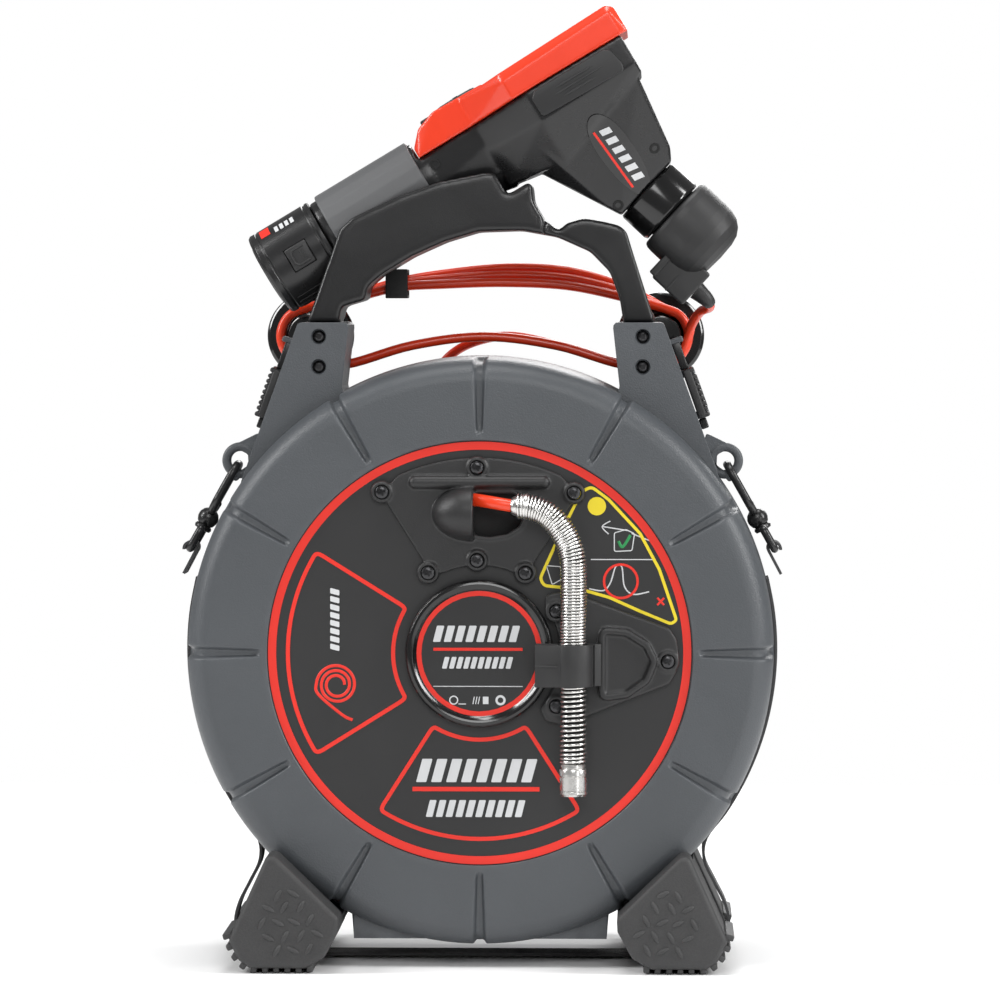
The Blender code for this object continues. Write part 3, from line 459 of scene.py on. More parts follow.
materials = {name: mouldedMaterial(name, finish) for name, finish in finishes.items()}
materials["springSteel"] = metalMaterial("springSteel", (0.8, 0.79, 0.77), 0.22, 60.0)
materials["turnedSteel"] = metalMaterial("turnedSteel", (0.74, 0.73, 0.71), 0.26, 90.0)
materials["screwBlack"] = metalMaterial("screwBlack", (0.07, 0.07, 0.073), 0.3, 120.0)
materials["axleSteel"] = metalMaterial("axleSteel", (0.55, 0.55, 0.54), 0.34, 40.0)
materials["wovenStrap"] = webbingMaterial()
screenGlass = materials["glossBlack"].copy()
screenGlass.name = "screenGlass"
screenGlass.node_tree.nodes["Principled BSDF"].inputs["Coat Weight"].default_value = 1.0
screenGlass.node_tree.nodes["Principled BSDF"].inputs["Coat Roughness"].default_value = 0.03
materials["screenGlass"] = screenGlass
for glossy in ("glossBlack", "orangeShell", "orangeJacket"):
    coated = materials[glossy].node_tree.nodes["Principled BSDF"]
    coated.inputs["Coat Weight"].default_value = 0.25
    coated.inputs["Coat Roughness"].default_value = 0.15
print("materials ready:", len(materials))


# shape helpers
def rounded(points, radius, closed=True, steps=4):
    # each corner of the chain becomes a small arc that touches both its sides
    made = []
    count = len(points)
    for i, point in enumerate(points):
        here = Vector(point)
        if not closed and i in (0, count - 1):
            made.append(here)
            continue
        toward = Vector(points[i - 1]) - here
        onward = Vector(points[(i + 1) % count]) - here
        half = max(toward.angle(onward) / 2, 0.05)
        cut = min(radius / math.tan(half) if half < 1.55 else 0.0, toward.length * 0.45,
                  onward.length * 0.45)
        start, end = here + toward.normalized() * cut, here + onward.normalized() * cut
        for k in range(steps + 1):
            t = k / steps
            made.append(start * (1 - t) ** 2 + here * 2 * t * (1 - t) + end * t**2)
    return made


def smoothLine(points, steps=6):
    points = [Vector(p) for p in points]
    line = []
    for i in range(len(points) - 1):
        a, b = points[max(i - 1, 0)], points[i]
        c, d = points[i + 1], points[min(i + 2, len(points) - 1)]
        for k in range(steps):
            t = k / steps
            bent, cubed = (2 * a - 5 * b + 4 * c - d) * t**2, (3 * b - 3 * c + d - a) * t**3
            line.append(0.5 * (2 * b + (c - a) * t + bent + cubed))
    line.append(points[-1])
    return line


def faceOut(bm):
    bmesh.ops.recalc_face_normals(bm, faces=bm.faces)
    if bm.calc_volume(signed=True) < 0:
        bmesh.ops.reverse_faces(bm, faces=bm.faces)
    return bm


def turned(profile, centre, axis=(0, 1, 0), steps=96, closed=False):
    bm = bmesh.new()
    centre, axis = Vector(centre), Vector(axis).normalized()
    side = Vector((0, 0, 1)) if abs(axis.z) < 0.9 else Vector((1, 0, 0))
    out = (side - axis * side.dot(axis)).normalized()
    verts = [bm.verts.new(centre + out * r + axis * d) for r, d in profile]
    edges = [bm.edges.new(pair) for pair in zip(verts, verts[1:])]
    if closed:
        edges.append(bm.edges.new((verts[-1], verts[0])))
    bmesh.ops.spin(
        bm,
        geom=verts + edges,
        cent=centre,
        axis=axis,
        angle=math.tau,
        steps=steps,
        use_merge=True,
        use_duplicate=False,
    )
    bmesh.ops.remove_doubles(bm, verts=bm.verts, dist=1e-3)
    return faceOut(bm)


def plate(outline, y0, y1):
    bm = bmesh.new()
    face = bm.faces.new([bm.verts.new((p[0], y0, p[1])) for p in outline])
    made = bmesh.ops.extrude_face_region(bm, geom=[face])
    moved = [v for v in made["geom"] if isinstance(v, bmesh.types.BMVert)]
    bmesh.ops.translate(bm, vec=(0, y1 - y0, 0), verts=moved)
    return faceOut(bm)


def strip(outline, width, y):
    # a closed printed line of even width: a thin plate whose middle is sunk out of sight
    sink = 0.55
    bm = plate(outline, y, y + sink + 0.3)
    front = min(bm.faces, key=lambda f: f.calc_center_median().y)
    bmesh.ops.inset_region(bm, faces=[front], thickness=width, use_even_offset=True)
    bmesh.ops.inset_region(bm, faces=[front], thickness=0.02, depth=-sink, use_even_offset=True)
    return bm


def bevelled(bm, width, segments=3, angle=30, keep=None):
    edges = []
    for edge in bm.edges:
        if edge.is_manifold and edge.calc_face_angle(0) > math.radians(angle):
            if keep is None or keep(edge):
                edges.append(edge)
    bmesh.ops.bevel(
        bm,
        geom=edges,
        offset=width,
        segments=segments,
        profile=0.5,
        affect="EDGES",
        clamp_overlap=True,
        material=-1,
    )
    return bm


def orientedBox(origin, xAxis, yAxis, low, high, bevel=0.0, segments=3):
    x, y = Vector(xAxis).normalized(), Vector(yAxis).normalized()
    z = x.cross(y)
    turn = Matrix((x, y, z)).transposed().to_4x4()
    low, high = Vector(low), Vector(high)
    size = high - low
    bm = bmesh.new()
    bmesh.ops.create_cube(bm, size=1)
    bmesh.ops.scale(bm, vec=size, verts=bm.verts)
    if bevel:
        bevelled(bm, bevel, segments)
    bmesh.ops.translate(bm, vec=(low + high) / 2, verts=bm.verts)
    bmesh.ops.transform(bm, matrix=Matrix.Translation(Vector(origin)) @ turn, verts=bm.verts)
    return bm


def gripBox(u0, u1, v0, v1, y0, y1, bevel=0.0, segments=3):
    # x runs along the grip, y along the depth, z towards the screen side
    return orientedBox(
        gripO, gripU, (0, 1, 0), (u0, y0, v0), (u1, y1, v1), bevel, segments
    )


def plugBox(a0, a1, b0, b1, half, bevel=0.0):
    return orientedBox(nose, plugA, (0, 1, 0), (a0, -half, b0), (a1, half, b1), bevel)


def ball(centre, semi, turn=None, rows=12, columns=24):
    bm = bmesh.new()
    bmesh.ops.create_uvsphere(bm, u_segments=columns, v_segments=rows, radius=1)
    bmesh.ops.scale(bm, vec=semi, verts=bm.verts)
    if turn is not None:
        bmesh.ops.transform(bm, matrix=turn.to_4x4(), verts=bm.verts)
    bmesh.ops.translate(bm, vec=centre, verts=bm.verts)
    return bm


def together(*parts):
    joined = bmesh.new()
    for part in parts:
        mesh = bpy.data.meshes.new("part")
        part.to_mesh(mesh)
        part.free()
        joined.from_mesh(mesh)
        bpy.data.meshes.remove(mesh)
    return joined


def helperObject(bm, name="helper"):
    mesh = bpy.data.meshes.new(name)
    bm.to_mesh(mesh)
    bm.free()
    obj = bpy.data.objects.new(name, mesh)
    bpy.context.scene.collection.objects.link(obj)
    return obj


def evaluated(obj):
    bpy.context.view_layer.update()
    graph = bpy.context.evaluated_depsgraph_get()
    mesh = bpy.data.meshes.new_from_object(obj.evaluated_get(graph))
    bm = bmesh.new()
    bm.from_mesh(mesh)
    bpy.data.meshes.remove(mesh)
    return bm


def bar(points, radius, sides=4, cyclic=False, radii=None):
    # a round bar along a line, closed at its ends
    curve = bpy.data.curves.new("bar", "CURVE")
    curve.dimensions = "3D"
    curve.bevel_depth = radius
    curve.bevel_resolution = sides
    curve.use_fill_caps = not cyclic
    spline = curve.splines.new("POLY")
    spline.points.add(len(points) - 1)
    for i, point in enumerate(points):
        spline.points[i].co = (*point, 1)
        if radii:
            spline.points[i].radius = radii[i]
    spline.use_cyclic_u = cyclic
    obj = bpy.data.objects.new("bar", curve)
    bpy.context.scene.collection.objects.link(obj)
    bm = evaluated(obj)
    bpy.data.objects.remove(obj)
    bpy.data.curves.remove(curve)
    bmesh.ops.remove_doubles(bm, verts=bm.verts, dist=1e-3)
    return faceOut(bm)


def carved(bm, cutters):
    base = helperObject(bm)
    tools = []
    for cutter in cutters:
        tool = helperObject(cutter, "cutter")
        tools.append(tool)
        modifier = base.modifiers.new("Cut", "BOOLEAN")
        modifier.operation = "DIFFERENCE"
        modifier.solver = "EXACT"
        modifier.object = tool
    result = evaluated(base)
    for obj in [base, *tools]:
        bpy.data.objects.remove(obj)
    bmesh.ops.remove_doubles(result, verts=result.verts, dist=1e-4)
    return result


def nodeShape(*names):
    # a merged copy of CAD nodes, in millimetres, with its doubled vertices merged
    bm = bmesh.new()
    for name in names:
        bm.from_mesh(frame["nodes"][name].data)
    bmesh.ops.scale(bm, vec=(1 / mm, 1 / mm, 1 / mm), verts=bm.verts)
    bmesh.ops.remove_doubles(bm, verts=bm.verts, dist=2e-3)
    return bm


def moulded(bm, voxel, rounds):
    # an even skin, relaxed so that its edges come out as round as a mould makes them
    base = helperObject(bm)
    modifier = base.modifiers.new("Skin", "REMESH")
    modifier.mode = "VOXEL"
    modifier.voxel_size = voxel
    result = evaluated(base)
    bpy.data.objects.remove(base)
    for _ in range(rounds):
        bmesh.ops.smooth_vert(
            result, verts=result.verts, factor=0.5, use_axis_x=True, use_axis_y=True, use_axis_z=True
        )
    return result


def addPiece(name, bm, body, material, replaces=(), smooth=32, weighted=False):
    bmesh.ops.scale(bm, vec=(mm, mm, mm), verts=bm.verts)
    mesh = bpy.data.meshes.new(name)
    bm.to_mesh(mesh)
    bm.free()
    mesh.shade_smooth()
    mesh.set_sharp_from_angle(angle=math.radians(smooth))
    mesh.materials.clear()
    mesh.materials.append(materials[material])
    obj = bpy.data.objects.new(name, mesh)
    bpy.context.scene.collection.objects.link(obj)
    if weighted:
        modifier = obj.modifiers.new("Flat faces", "WEIGHTED_NORMAL")
        modifier.keep_sharp = True
    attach(obj, body)
    if replaces:
        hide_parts(*replaces)
    return obj


def finishNode(node, material):
    obj = frame["nodes"][node]
    obj.data.materials.clear()
    obj.data.materials.append(materials[material])


def surfaceOf(obj):
    bm = bmesh.new()
    bm.from_mesh(obj.data)
    bmesh.ops.scale(bm, vec=(1 / mm, 1 / mm, 1 / mm), verts=bm.verts)
    tree = BVHTree.FromBMesh(bm)
    bm.free()
    return tree


def draped(bm, tree, lift):
    # lays a flat mark, drawn in x and z, on the surface in front of it
    for vert in bm.verts:
        hit = tree.ray_cast(Vector((vert.co.x, farInFront, vert.co.z)), Vector((0, 1, 0)))
        if hit[0] is not None:
            vert.co.y = hit[0].y + vert.co.y - lift
    return bm


# case
case = {
    "steps": 720,
    "sectors": 12,
    "lateral": [0, 0.9, 1.8, 2.6, 3.3, 4.0, 4.8],  # distance from the groove's middle of the lines near it
    "sunk": [1, 1, 0.93, 0.64, 0.2, 0.03, 0],
    "grooveDepth": 2.7,
    "wall": 3.0,
    "seam": 0.15,
    "draft": 1.4,  # how much smaller the rim is at its shoulder than at the seam
    "lip": 0.5,  # how far the face reaches over the panel's edge
    "postBevel": 3.2,
    "face": 60.0,  # half depth of the case
    "rim": 153.5,  # radius where the rounded shoulder starts
    "shoulder": 14.5,
    "postReach": (38, 31),  # how far the posts stand forward and back
    "screws": (92.2, (358.0, 340.8)),  # reach and heights of the handle's screws
    "screwHole": [(0, -46), (4.6, -46), (4.6, -38.6), (4.4, -37.4), (3.9, -36.4), (3.6, -35),
                  (3.6, -33), (0, -33)],
    "base": (74, 15.4, 46),  # half width, height and half depth of the block under the case
    "ribs": 12,
}
latch = {"along": (-0.335746, 0, -0.941953), "pinBack": 4.4, "pinY": 12.5, "pinR": 1.5}


def caseRing(profile, depth):
    # profile: (radius, y, sink radius, sink y) in order round the wall's section
    bm = bmesh.new()
    sinkR = bm.verts.layers.float.new("sinkR")
    sinkY = bm.verts.layers.float.new("sinkY")
    verts = []
    for radius, y, inward, back in profile:
        vert = bm.verts.new((0, y, axisZ + radius))
        vert[sinkR], vert[sinkY] = inward, back
        verts.append(vert)
    edges = [bm.edges.new(pair) for pair in zip(verts, verts[1:] + verts[:1])]
    bmesh.ops.spin(
        bm,
        geom=verts + edges,
        cent=(0, 0, axisZ),
        axis=(0, 1, 0),
        angle=math.tau,
        steps=case["steps"],
        use_merge=True,
        use_duplicate=False,
    )
    perSector = case["steps"] // case["sectors"]
    stepAngle = math.tau / case["steps"]
    sectorAngle = math.tau / case["sectors"]
    known = len(case["lateral"]) - 1
    for vert in bm.verts:
        x, z = vert.co.x, vert.co.z - axisZ
        radius, angle = math.hypot(x, z), math.atan2(z, x)
        index = round((angle - math.pi / 2) / stepAngle)
        sector = round(index / perSector)
        offset = index - sector * perSector
        size, sign = abs(offset), 1 if offset >= 0 else -1
        sunk = case["sunk"][size] if size <= known else 0.0
        narrow = 0.6 + 0.4 * min(1.0, max(0.0, (radius - panelR - 4) / 28))
        if size <= known:
            turn = case["lateral"][size] * narrow / radius
        else:
            edge = case["lateral"][known] * narrow / radius
            turn = edge + (sectorAngle / 2 - edge) * (size - known) / (perSector / 2 - known)
        angle = math.pi / 2 + sector * sectorAngle + sign * turn
        radius -= vert[sinkR] * sunk * depth
        vert.co.x = radius * math.cos(angle)
        vert.co.z = axisZ + radius * math.sin(angle)
        vert.co.y += vert[sinkY] * sunk * depth
    return faceOut(bm)


def ringProfile(facing):
    # facing -1 for the front half, 1 for the rear half
    face, rim, shoulder = case["face"], case["rim"], case["shoulder"]
    lip = panelR - case["lip"]
    points = [(lip, 58.5, 0, 0), (lip, 59.5, 0, 0), (lip + 0.5, 60, 0, 0), (panelR + 3, face, 0, 0)]
    points += [(panelR + 4.2, face, 0, 0.3), (panelR + 6, face, 0, 0.8), (panelR + 8, face, 0, 1)]
    for k in range(5):
        radius = panelR + 10 + (rim - panelR - 10) * k / 4
        points.append((radius, face - 0.15 * k / 4, 0, 1))
    for k in range(1, 11):
        angle = math.pi / 2 * k / 10
        points.append(
            (
                rim + (shoulder - case["draft"]) * math.sin(angle),
                face - 0.15 - (shoulder + 1.5) * (1 - math.cos(angle)),
                math.sin(angle),
                math.cos(angle),
            )
        )
    for y, inward in ((40, 1), (30, 1), (24, 1), (21, 0.7), (18.5, 0.2), (16, 0), (8, 0), (0.8, 0)):
        points.append((caseR - case["draft"] * y / 44, y, inward, 0))
    points.append((caseR - 0.5, case["seam"], 0, 0))
    inner = caseR - case["wall"]
    points += [(inner, case["seam"], 0, 0), (inner - 1.3, 43, 0, 0), (inner - 5, 51, 0, 0),
               (inner - 11, 56.2, 0, 0)]
    points += [(panelR + 4, 56.4, 0, 0), (panelR + 4, 58.5, 0, 0)]
    return [(r, facing * y, inward, -facing * back) for r, y, inward, back in points]


def postShape(side, y0, y1):
    outline = [(-104, 366), (-75, 366), (-79, 330), polar(158, 119), polar(158, 131), polar(158, 146)]
    outline.append(polar(166.8, 145.3))
    outline = [(-side * x, z) for x, z in outline]
    return plate(rounded(outline, 3.0, steps=3), y0, y1)


def latchPoint(side, s, y, n):
    joint = joints["latch_left_hinge" if side < 0 else "latch_right_hinge"]
    along = Vector(latch["along"])
    across = Vector((along.z, 0, -along.x))
    pin = Vector(joint["pos_m"]) / mm
    pin = Vector((-abs(pin.x), 0, pin.z)) - across * latch["pinBack"]
    place = pin + along * s + across * n
    return Vector((-side * place.x, y, place.z))


def latchBox(side, s0, s1, y0, y1, n0, n1, bevel=0.6):
    along = latchPoint(side, 1, 0, 0) - latchPoint(side, 0, 0, 0)
    across = latchPoint(side, 0, 0, 1) - latchPoint(side, 0, 0, 0)
    third = along.cross(Vector((0, 1, 0)))
    low, high = (n0, n1) if third.dot(across) > 0 else (-n1, -n0)
    origin = latchPoint(side, 0, 0, 0)
    return orientedBox(origin, along, (0, 1, 0), (s0, y0, low), (s1, y1, high), bevel)


def screwSpots():
    reach, heights = case["screws"]
    return [(side * reach, z) for side in (-1, 1) for z in heights]


def buildCase():
    ear = Vector(joints["hook_left_swing"]["pos_m"]) / mm
    parts = [caseRing(ringProfile(-1), case["grooveDepth"])]
    for side in (-1, 1):
        spots = [(x, z) for x, z in screwSpots() if x * side > 0]
        holes = [turned(case["screwHole"], (x, 0, z), steps=32) for x, z in spots]
        post = carved(postShape(side, -case["postReach"][0], -case["seam"]), holes)

        def outerEdge(edge):
            at = edge.verts[0].co
            inFront = all(v.co.y < 0.1 - case["postReach"][0] for v in edge.verts)
            return inFront and all(math.hypot(at.x - x, at.z - z) > 6 for x, z in spots)

        parts.append(bevelled(post, case["postBevel"], 4, keep=outerEdge))
        at = Vector((side * abs(ear.x), 0, ear.z))
        eye = rounded([(5.3, -7.6), (10.4, -7.6), (10.4, -0.2), (5.3, -0.2)], 2.4)
        parts.append(turned([tuple(p) for p in eye], at, steps=48, closed=True))
        # the lug's root, from the ring back to the wall and up beside the post
        root = [(-146.5, 292.6), (-141, 296.4), (-133.2, 300.2), (-128.6, 302.5), (-127.2, 296)]
        root += [(-131.6, 289), (-137.2, 279.5), (-141.5, 274.4), (-147.6, 276.6), (-140.2, 279.8)]
        root += [(-134.6, 284), (-134.9, 290), (-139.4, 292.4), (-143.6, 291.4)]
        root = plate(rounded([(-side * x, z) for x, z in root], 1.6), -7.2, -0.25)
        parts.append(bevelled(root, 1.0, 3, 50))
    baseHalf, baseZ, baseDepth = case["base"]
    base = rounded([(-baseHalf, baseZ), (baseHalf, baseZ)], 0.1, steps=1) + arc(156, -61.6, -118.4, 20)
    block = plate(base, -baseDepth, -case["seam"])
    parts.append(bevelled(block, 2.2, 3, 50, keep=lambda e: all(v.co.y < 0.1 - baseDepth for v in e.verts)))
    addPiece("caseFront", together(*parts), "reel", "caseSlate", ["front_case"],
             weighted=True)

    parts = [caseRing(ringProfile(1), case["grooveDepth"])]
    disc = [(3.4, 55), (3.4, 66), (9, 66), (12.5, 63.6), (14, 63), (35, 63), (37.6, 62.2)]
    disc += [(40, 59.4), (44, 58.4), (58, 58.4), (60, 59.4), (64, 59.4), (66, 58.4), (112, 58.4)]
    disc += [(115, 59.4), (panelR + 0.4, 59.6), (panelR + 2, 59.6), (panelR + 2, 56.8), (44, 56.8)]
    disc += [(14, 57), (10, 55)]
    disc = [tuple(p) for p in rounded(disc, 0.8, steps=3)]
    parts.append(turned(disc, (0, 0, axisZ), steps=180, closed=True))
    for k in range(case["ribs"]):
        angle = math.tau * (k + 0.5) / case["ribs"]
        out = Vector((math.cos(angle), 0, math.sin(angle)))
        parts.append(orientedBox((0, 0, axisZ), out, (0, 1, 0), (67, 57.5, -1.4), (111, 59.6, 1.4), 0.7))
    for side in (-1, 1):
        post = postShape(side, case["seam"], case["postReach"][1])
        keep = lambda e: all(v.co.y > case["postReach"][1] - 0.1 for v in e.verts)
        parts.append(bevelled(post, case["postBevel"], 4, keep=keep))
        for s0, s1 in ((-15, -10.3), (10.3, 15)):
            parts.append(latchBox(side, s0, s1, 9.8, 16, -2.5, 7.6, 0.9))
        pin = [latchPoint(side, s, latch["pinY"], latch["pinBack"]) for s in (-12, 12)]
        parts.append(bar(pin, latch["pinR"]))
        parts.append(latchBox(side, -33.8, -30.6, -5, 6, -3, 7.4, 1.0))
    block = plate(base, case["seam"], baseDepth)
    parts.append(bevelled(block, 2.2, 3, 50, keep=lambda e: all(v.co.y > baseDepth - 0.1 for v in e.verts)))
    addPiece("caseRear", together(*parts), "reel", "caseSlate", ["rear_case"], weighted=True)
    for side, hand in ((-1, "Left"), (1, "Right")):
        rod = latchBox(side, -31, -14.9, -5, 4, 0.2, 4.9, 0.8)
        tail = latchBox(side, 14.9, 21, -5, 4, 0.2, 4.6, 0.8)
        addPiece("latchRod" + hand, together(rod, tail), "reel", "mouldedBlack", ())
    print("case done")


buildCase()

# front panel, its printed marks and the plates on it
panel = {
    "ring": (115.3, 119.9),
    "line": 2.3,
    "ink": 0.3,
    "portScrews": [(-1.3, 105.3), (-55.2, 91.4), (53.5, 90.9), (-1.3, 52.8), (-29, 45.7), (26.1, 45.7)],
    "clipScrews": [(43.7, 24.1), (43.7, -29.7), (106.6, -4.3)],
    "portFace": -60.8,
    "clipFace": -62.3,
    "screwHole": [(0, -70), (3.9, -70), (3.9, -50), (0, -50)],
    "skin": 0.62,  # voxel of the plates' moulded skin
    "hubFace": -61.2,
}


def sectorOutline(inner, outer, centre, half, radius=5.0):
    # half is the half angle of the outer arc; the sides run straight to the inner arc
    inside = half * 1.02
    line = arc(outer, centre - half, centre + half, 28)
    line += arc(inner, centre + inside, centre - inside, 16)
    made = []
    count = len(line)
    for i, point in enumerate(line):
        if i in (0, 28, 29, count - 1):
            before, after = Vector(line[i - 1]), Vector(line[(i + 1) % count])
            here = Vector(point)
            for k in range(6):
                t = k / 5
                start = here + (before - here).normalized() * min(radius, (before - here).length * 0.9)
                end = here + (after - here).normalized() * min(radius, (after - here).length * 0.9)
                made.append(start * (1 - t) ** 2 + here * 2 * t * (1 - t) + end * t**2)
        else:
            made.append(Vector(point))
    return made


def slantedRow(centre, width, height, count, lean, y, turn=0.0):
    # a row of leaning bars, a plain ornament in place of any wording
    parts = []
    pitch = width / count
    rotation = Matrix.Rotation(math.radians(turn), 2)
    for k in range(count):
        left = -width / 2 + pitch * k
        right = left + pitch * 0.68
        corners = [(left, -height / 2), (right, -height / 2), (right + lean, height / 2),
                   (left + lean, height / 2)]
        corners = [Vector(centre) + rotation @ Vector(c) for c in corners]
        corners = [(c.x, axisZ + c.y) for c in corners]
        parts.append(plate(rounded(corners, 0.5, steps=2), y - panel["ink"], y + 0.2))
    return parts


def stroke(points, width, y):
    # a flat drawn line
    line = [Vector((x, y, axisZ + z)) for x, z in points]
    if len(line) > 2:
        line = smoothLine(line, 6)
    bm = bar(line, width / 2, 2)
    for vert in bm.verts:
        vert.co.y = y + (vert.co.y - y) * panel["ink"] / (width / 2)
    return bm


def ringMark(x, z, radius, width, y):
    profile = [(radius - width, -panel["ink"]), (radius, -panel["ink"]), (radius, 0.2),
               (radius - width, 0.2)]
    return turned(profile, (x, y, axisZ + z), steps=40, closed=True)


def ruleMark(x0, x1, z0, z1, y):
    corners = [(x0, axisZ + z0), (x1, axisZ + z0), (x1, axisZ + z1), (x0, axisZ + z1)]
    return plate(corners, y - panel["ink"], y + 0.2)


def screwHead(x, y, z, radius, depth, drive="cross"):
    # a domed head with its drive recess
    profile = [(0, -depth), (radius * 0.45, -depth * 0.97), (radius * 0.8, -depth * 0.8)]
    profile += [(radius * 0.97, -depth * 0.5), (radius, -depth * 0.25), (radius, 1.0), (0, 1.0)]
    head = turned(profile, (x, y, z), steps=28)
    cutters = []
    if drive == "cross":
        for turn in (25, 115):
            angle = math.radians(turn)
            out = Vector((math.cos(angle), 0, math.sin(angle)))
            cutters.append(
                orientedBox(
                    (x, y, z),
                    out,
                    (0, 1, 0),
                    (-radius * 0.58, -depth - 1, -radius * 0.13),
                    (radius * 0.58, -depth * 0.25, radius * 0.13),
                )
            )
    else:
        hexagon = []
        for k in range(6):
            angle = math.radians(60 * k + 10)
            hexagon.append((x + radius * 0.52 * math.cos(angle), z + radius * 0.52 * math.sin(angle)))
        cutters.append(plate(hexagon, y - depth - 1, y - depth * 0.2))
    return carved(head, cutters)


def buildPanel():
    finishNode("front_panel", "panelVinyl")
    face = panelY
    inner, outer = panel["ring"]
    border = [(inner, -0.35), (outer, -0.35), (outer, 0.2), (inner, 0.2)]
    rim = turned(border, (0, face, axisZ), steps=240, closed=True)
    left = strip(sectorOutline(47.8, 109.8, 180, 32.4), panel["line"], face - panel["ink"])
    low = strip(sectorOutline(47.9, 106.6, -90, 33), panel["line"], face - panel["ink"])
    rules = [ruleMark(-38, 34, -78.4, -75.9, face), ringMark(80, 40.9, 10.2, 1.4, face)]
    rules.append(stroke([(100.6, 31.5), (104.4, 27.5)], 1.2, face))
    rules.append(stroke([(100.6, 27.5), (104.4, 31.5)], 1.2, face))
    coil = []
    for k in range(60):
        angle = math.radians(k * 16)
        reach = 4.5 + 7.5 * k / 60
        coil.append((-81 + reach * math.cos(angle), -18 + reach * math.sin(angle)))
    rules.append(stroke(coil[::2] + [(-78, -35), (-72, -38)], 1.7, face))
    addPiece("panelRedLines", together(rim, left, low, *rules), "reel", "printRed")

    corner = [(63.3, 95.5), (73.6, 87.8), (91.5, 68.5), (102.5, 48), (112.5, 18.6), (108.5, 15.8)]
    corner += [(91, 23), (73, 31), (57.5, 35.4), (36, 37.6), (33.4, 42.5), (44, 66), (57, 92)]
    warn = strip(rounded([(x, axisZ + z) for x, z in corner], 5.0, steps=4), 1.7, face - panel["ink"])
    dot = ringMark(66.4, 83.4, 5.2, 5.2, face)
    addPiece("panelYellowLines", together(warn, dot), "reel", "printYellow")
    marks = [stroke([(63, 53.2), (98, 53.2)], 0.6, face), stroke([(70, 71.8), (84, 69.6)], 0.7, face)]
    marks += [stroke([(74, 75), (69.4, 71.8), (73, 67.6)], 0.7, face),
              stroke([(86, 68), (97, 63.6)], 0.7, face)]
    hand = rounded([(76, 57.5), (86.5, 58), (88, 68), (83, 70.5), (76, 68.5)], 1.5)
    marks.append(strip([(p[0], axisZ + p[1]) for p in hand], 0.55, face - panel["ink"]))
    hump = [(62, 36.6), (70, 35.6), (74, 40), (77, 49), (80.5, 49), (82, 38), (87, 33.5), (96, 35)]
    marks.append(stroke(hump, 0.8, face))
    box = rounded([(36.5, 45), (45, 44.4), (46, 37), (40, 33.6)], 1.0)
    marks.append(strip([(p[0] + 1, axisZ + p[1] + 5) for p in box], 0.5, face - panel["ink"]))
    marks += slantedRow((-2, -66.6), 68, 13.2, 8, 3.6, face)
    marks += slantedRow((-2.5, -88.2), 56, 9.6, 10, 2.4, face)
    marks += slantedRow((-82, 19), 36, 5.2, 8, 1.4, face, 90)
    addPiece("panelPaleMarks", together(*marks), "reel", "printWhite")
    tick = stroke([(78.6, 63.6), (81, 60.4), (85.4, 67)], 1.6, face)
    addPiece("panelGreenTick", tick, "reel", "printGreen")
    print("printed marks done")


def softPlate(outline, face, back, cutters, voxel, rounds, extras):
    # a plate with its bosses and ribs, run together and softened as one moulding
    body = carved(plate(outline, face, back), cutters)
    return moulded(together(body, *extras), voxel, rounds)


def screwHoles(spots):
    return [turned(panel["screwHole"], (x, 0, axisZ + z), steps=24) for x, z in spots]


def screwCollars(profile, spots):
    return [turned(profile, (x, 0, axisZ + z), steps=40, closed=True) for x, z in spots]


def raisedInset(bm, steps):
    # presses the front face of a plate in or out, one inset after another
    front = min(bm.faces, key=lambda f: f.calc_center_median().y)
    for thickness, depth in steps:
        bmesh.ops.inset_region(bm, faces=[front], thickness=thickness, depth=depth, use_even_offset=True)
    return bm


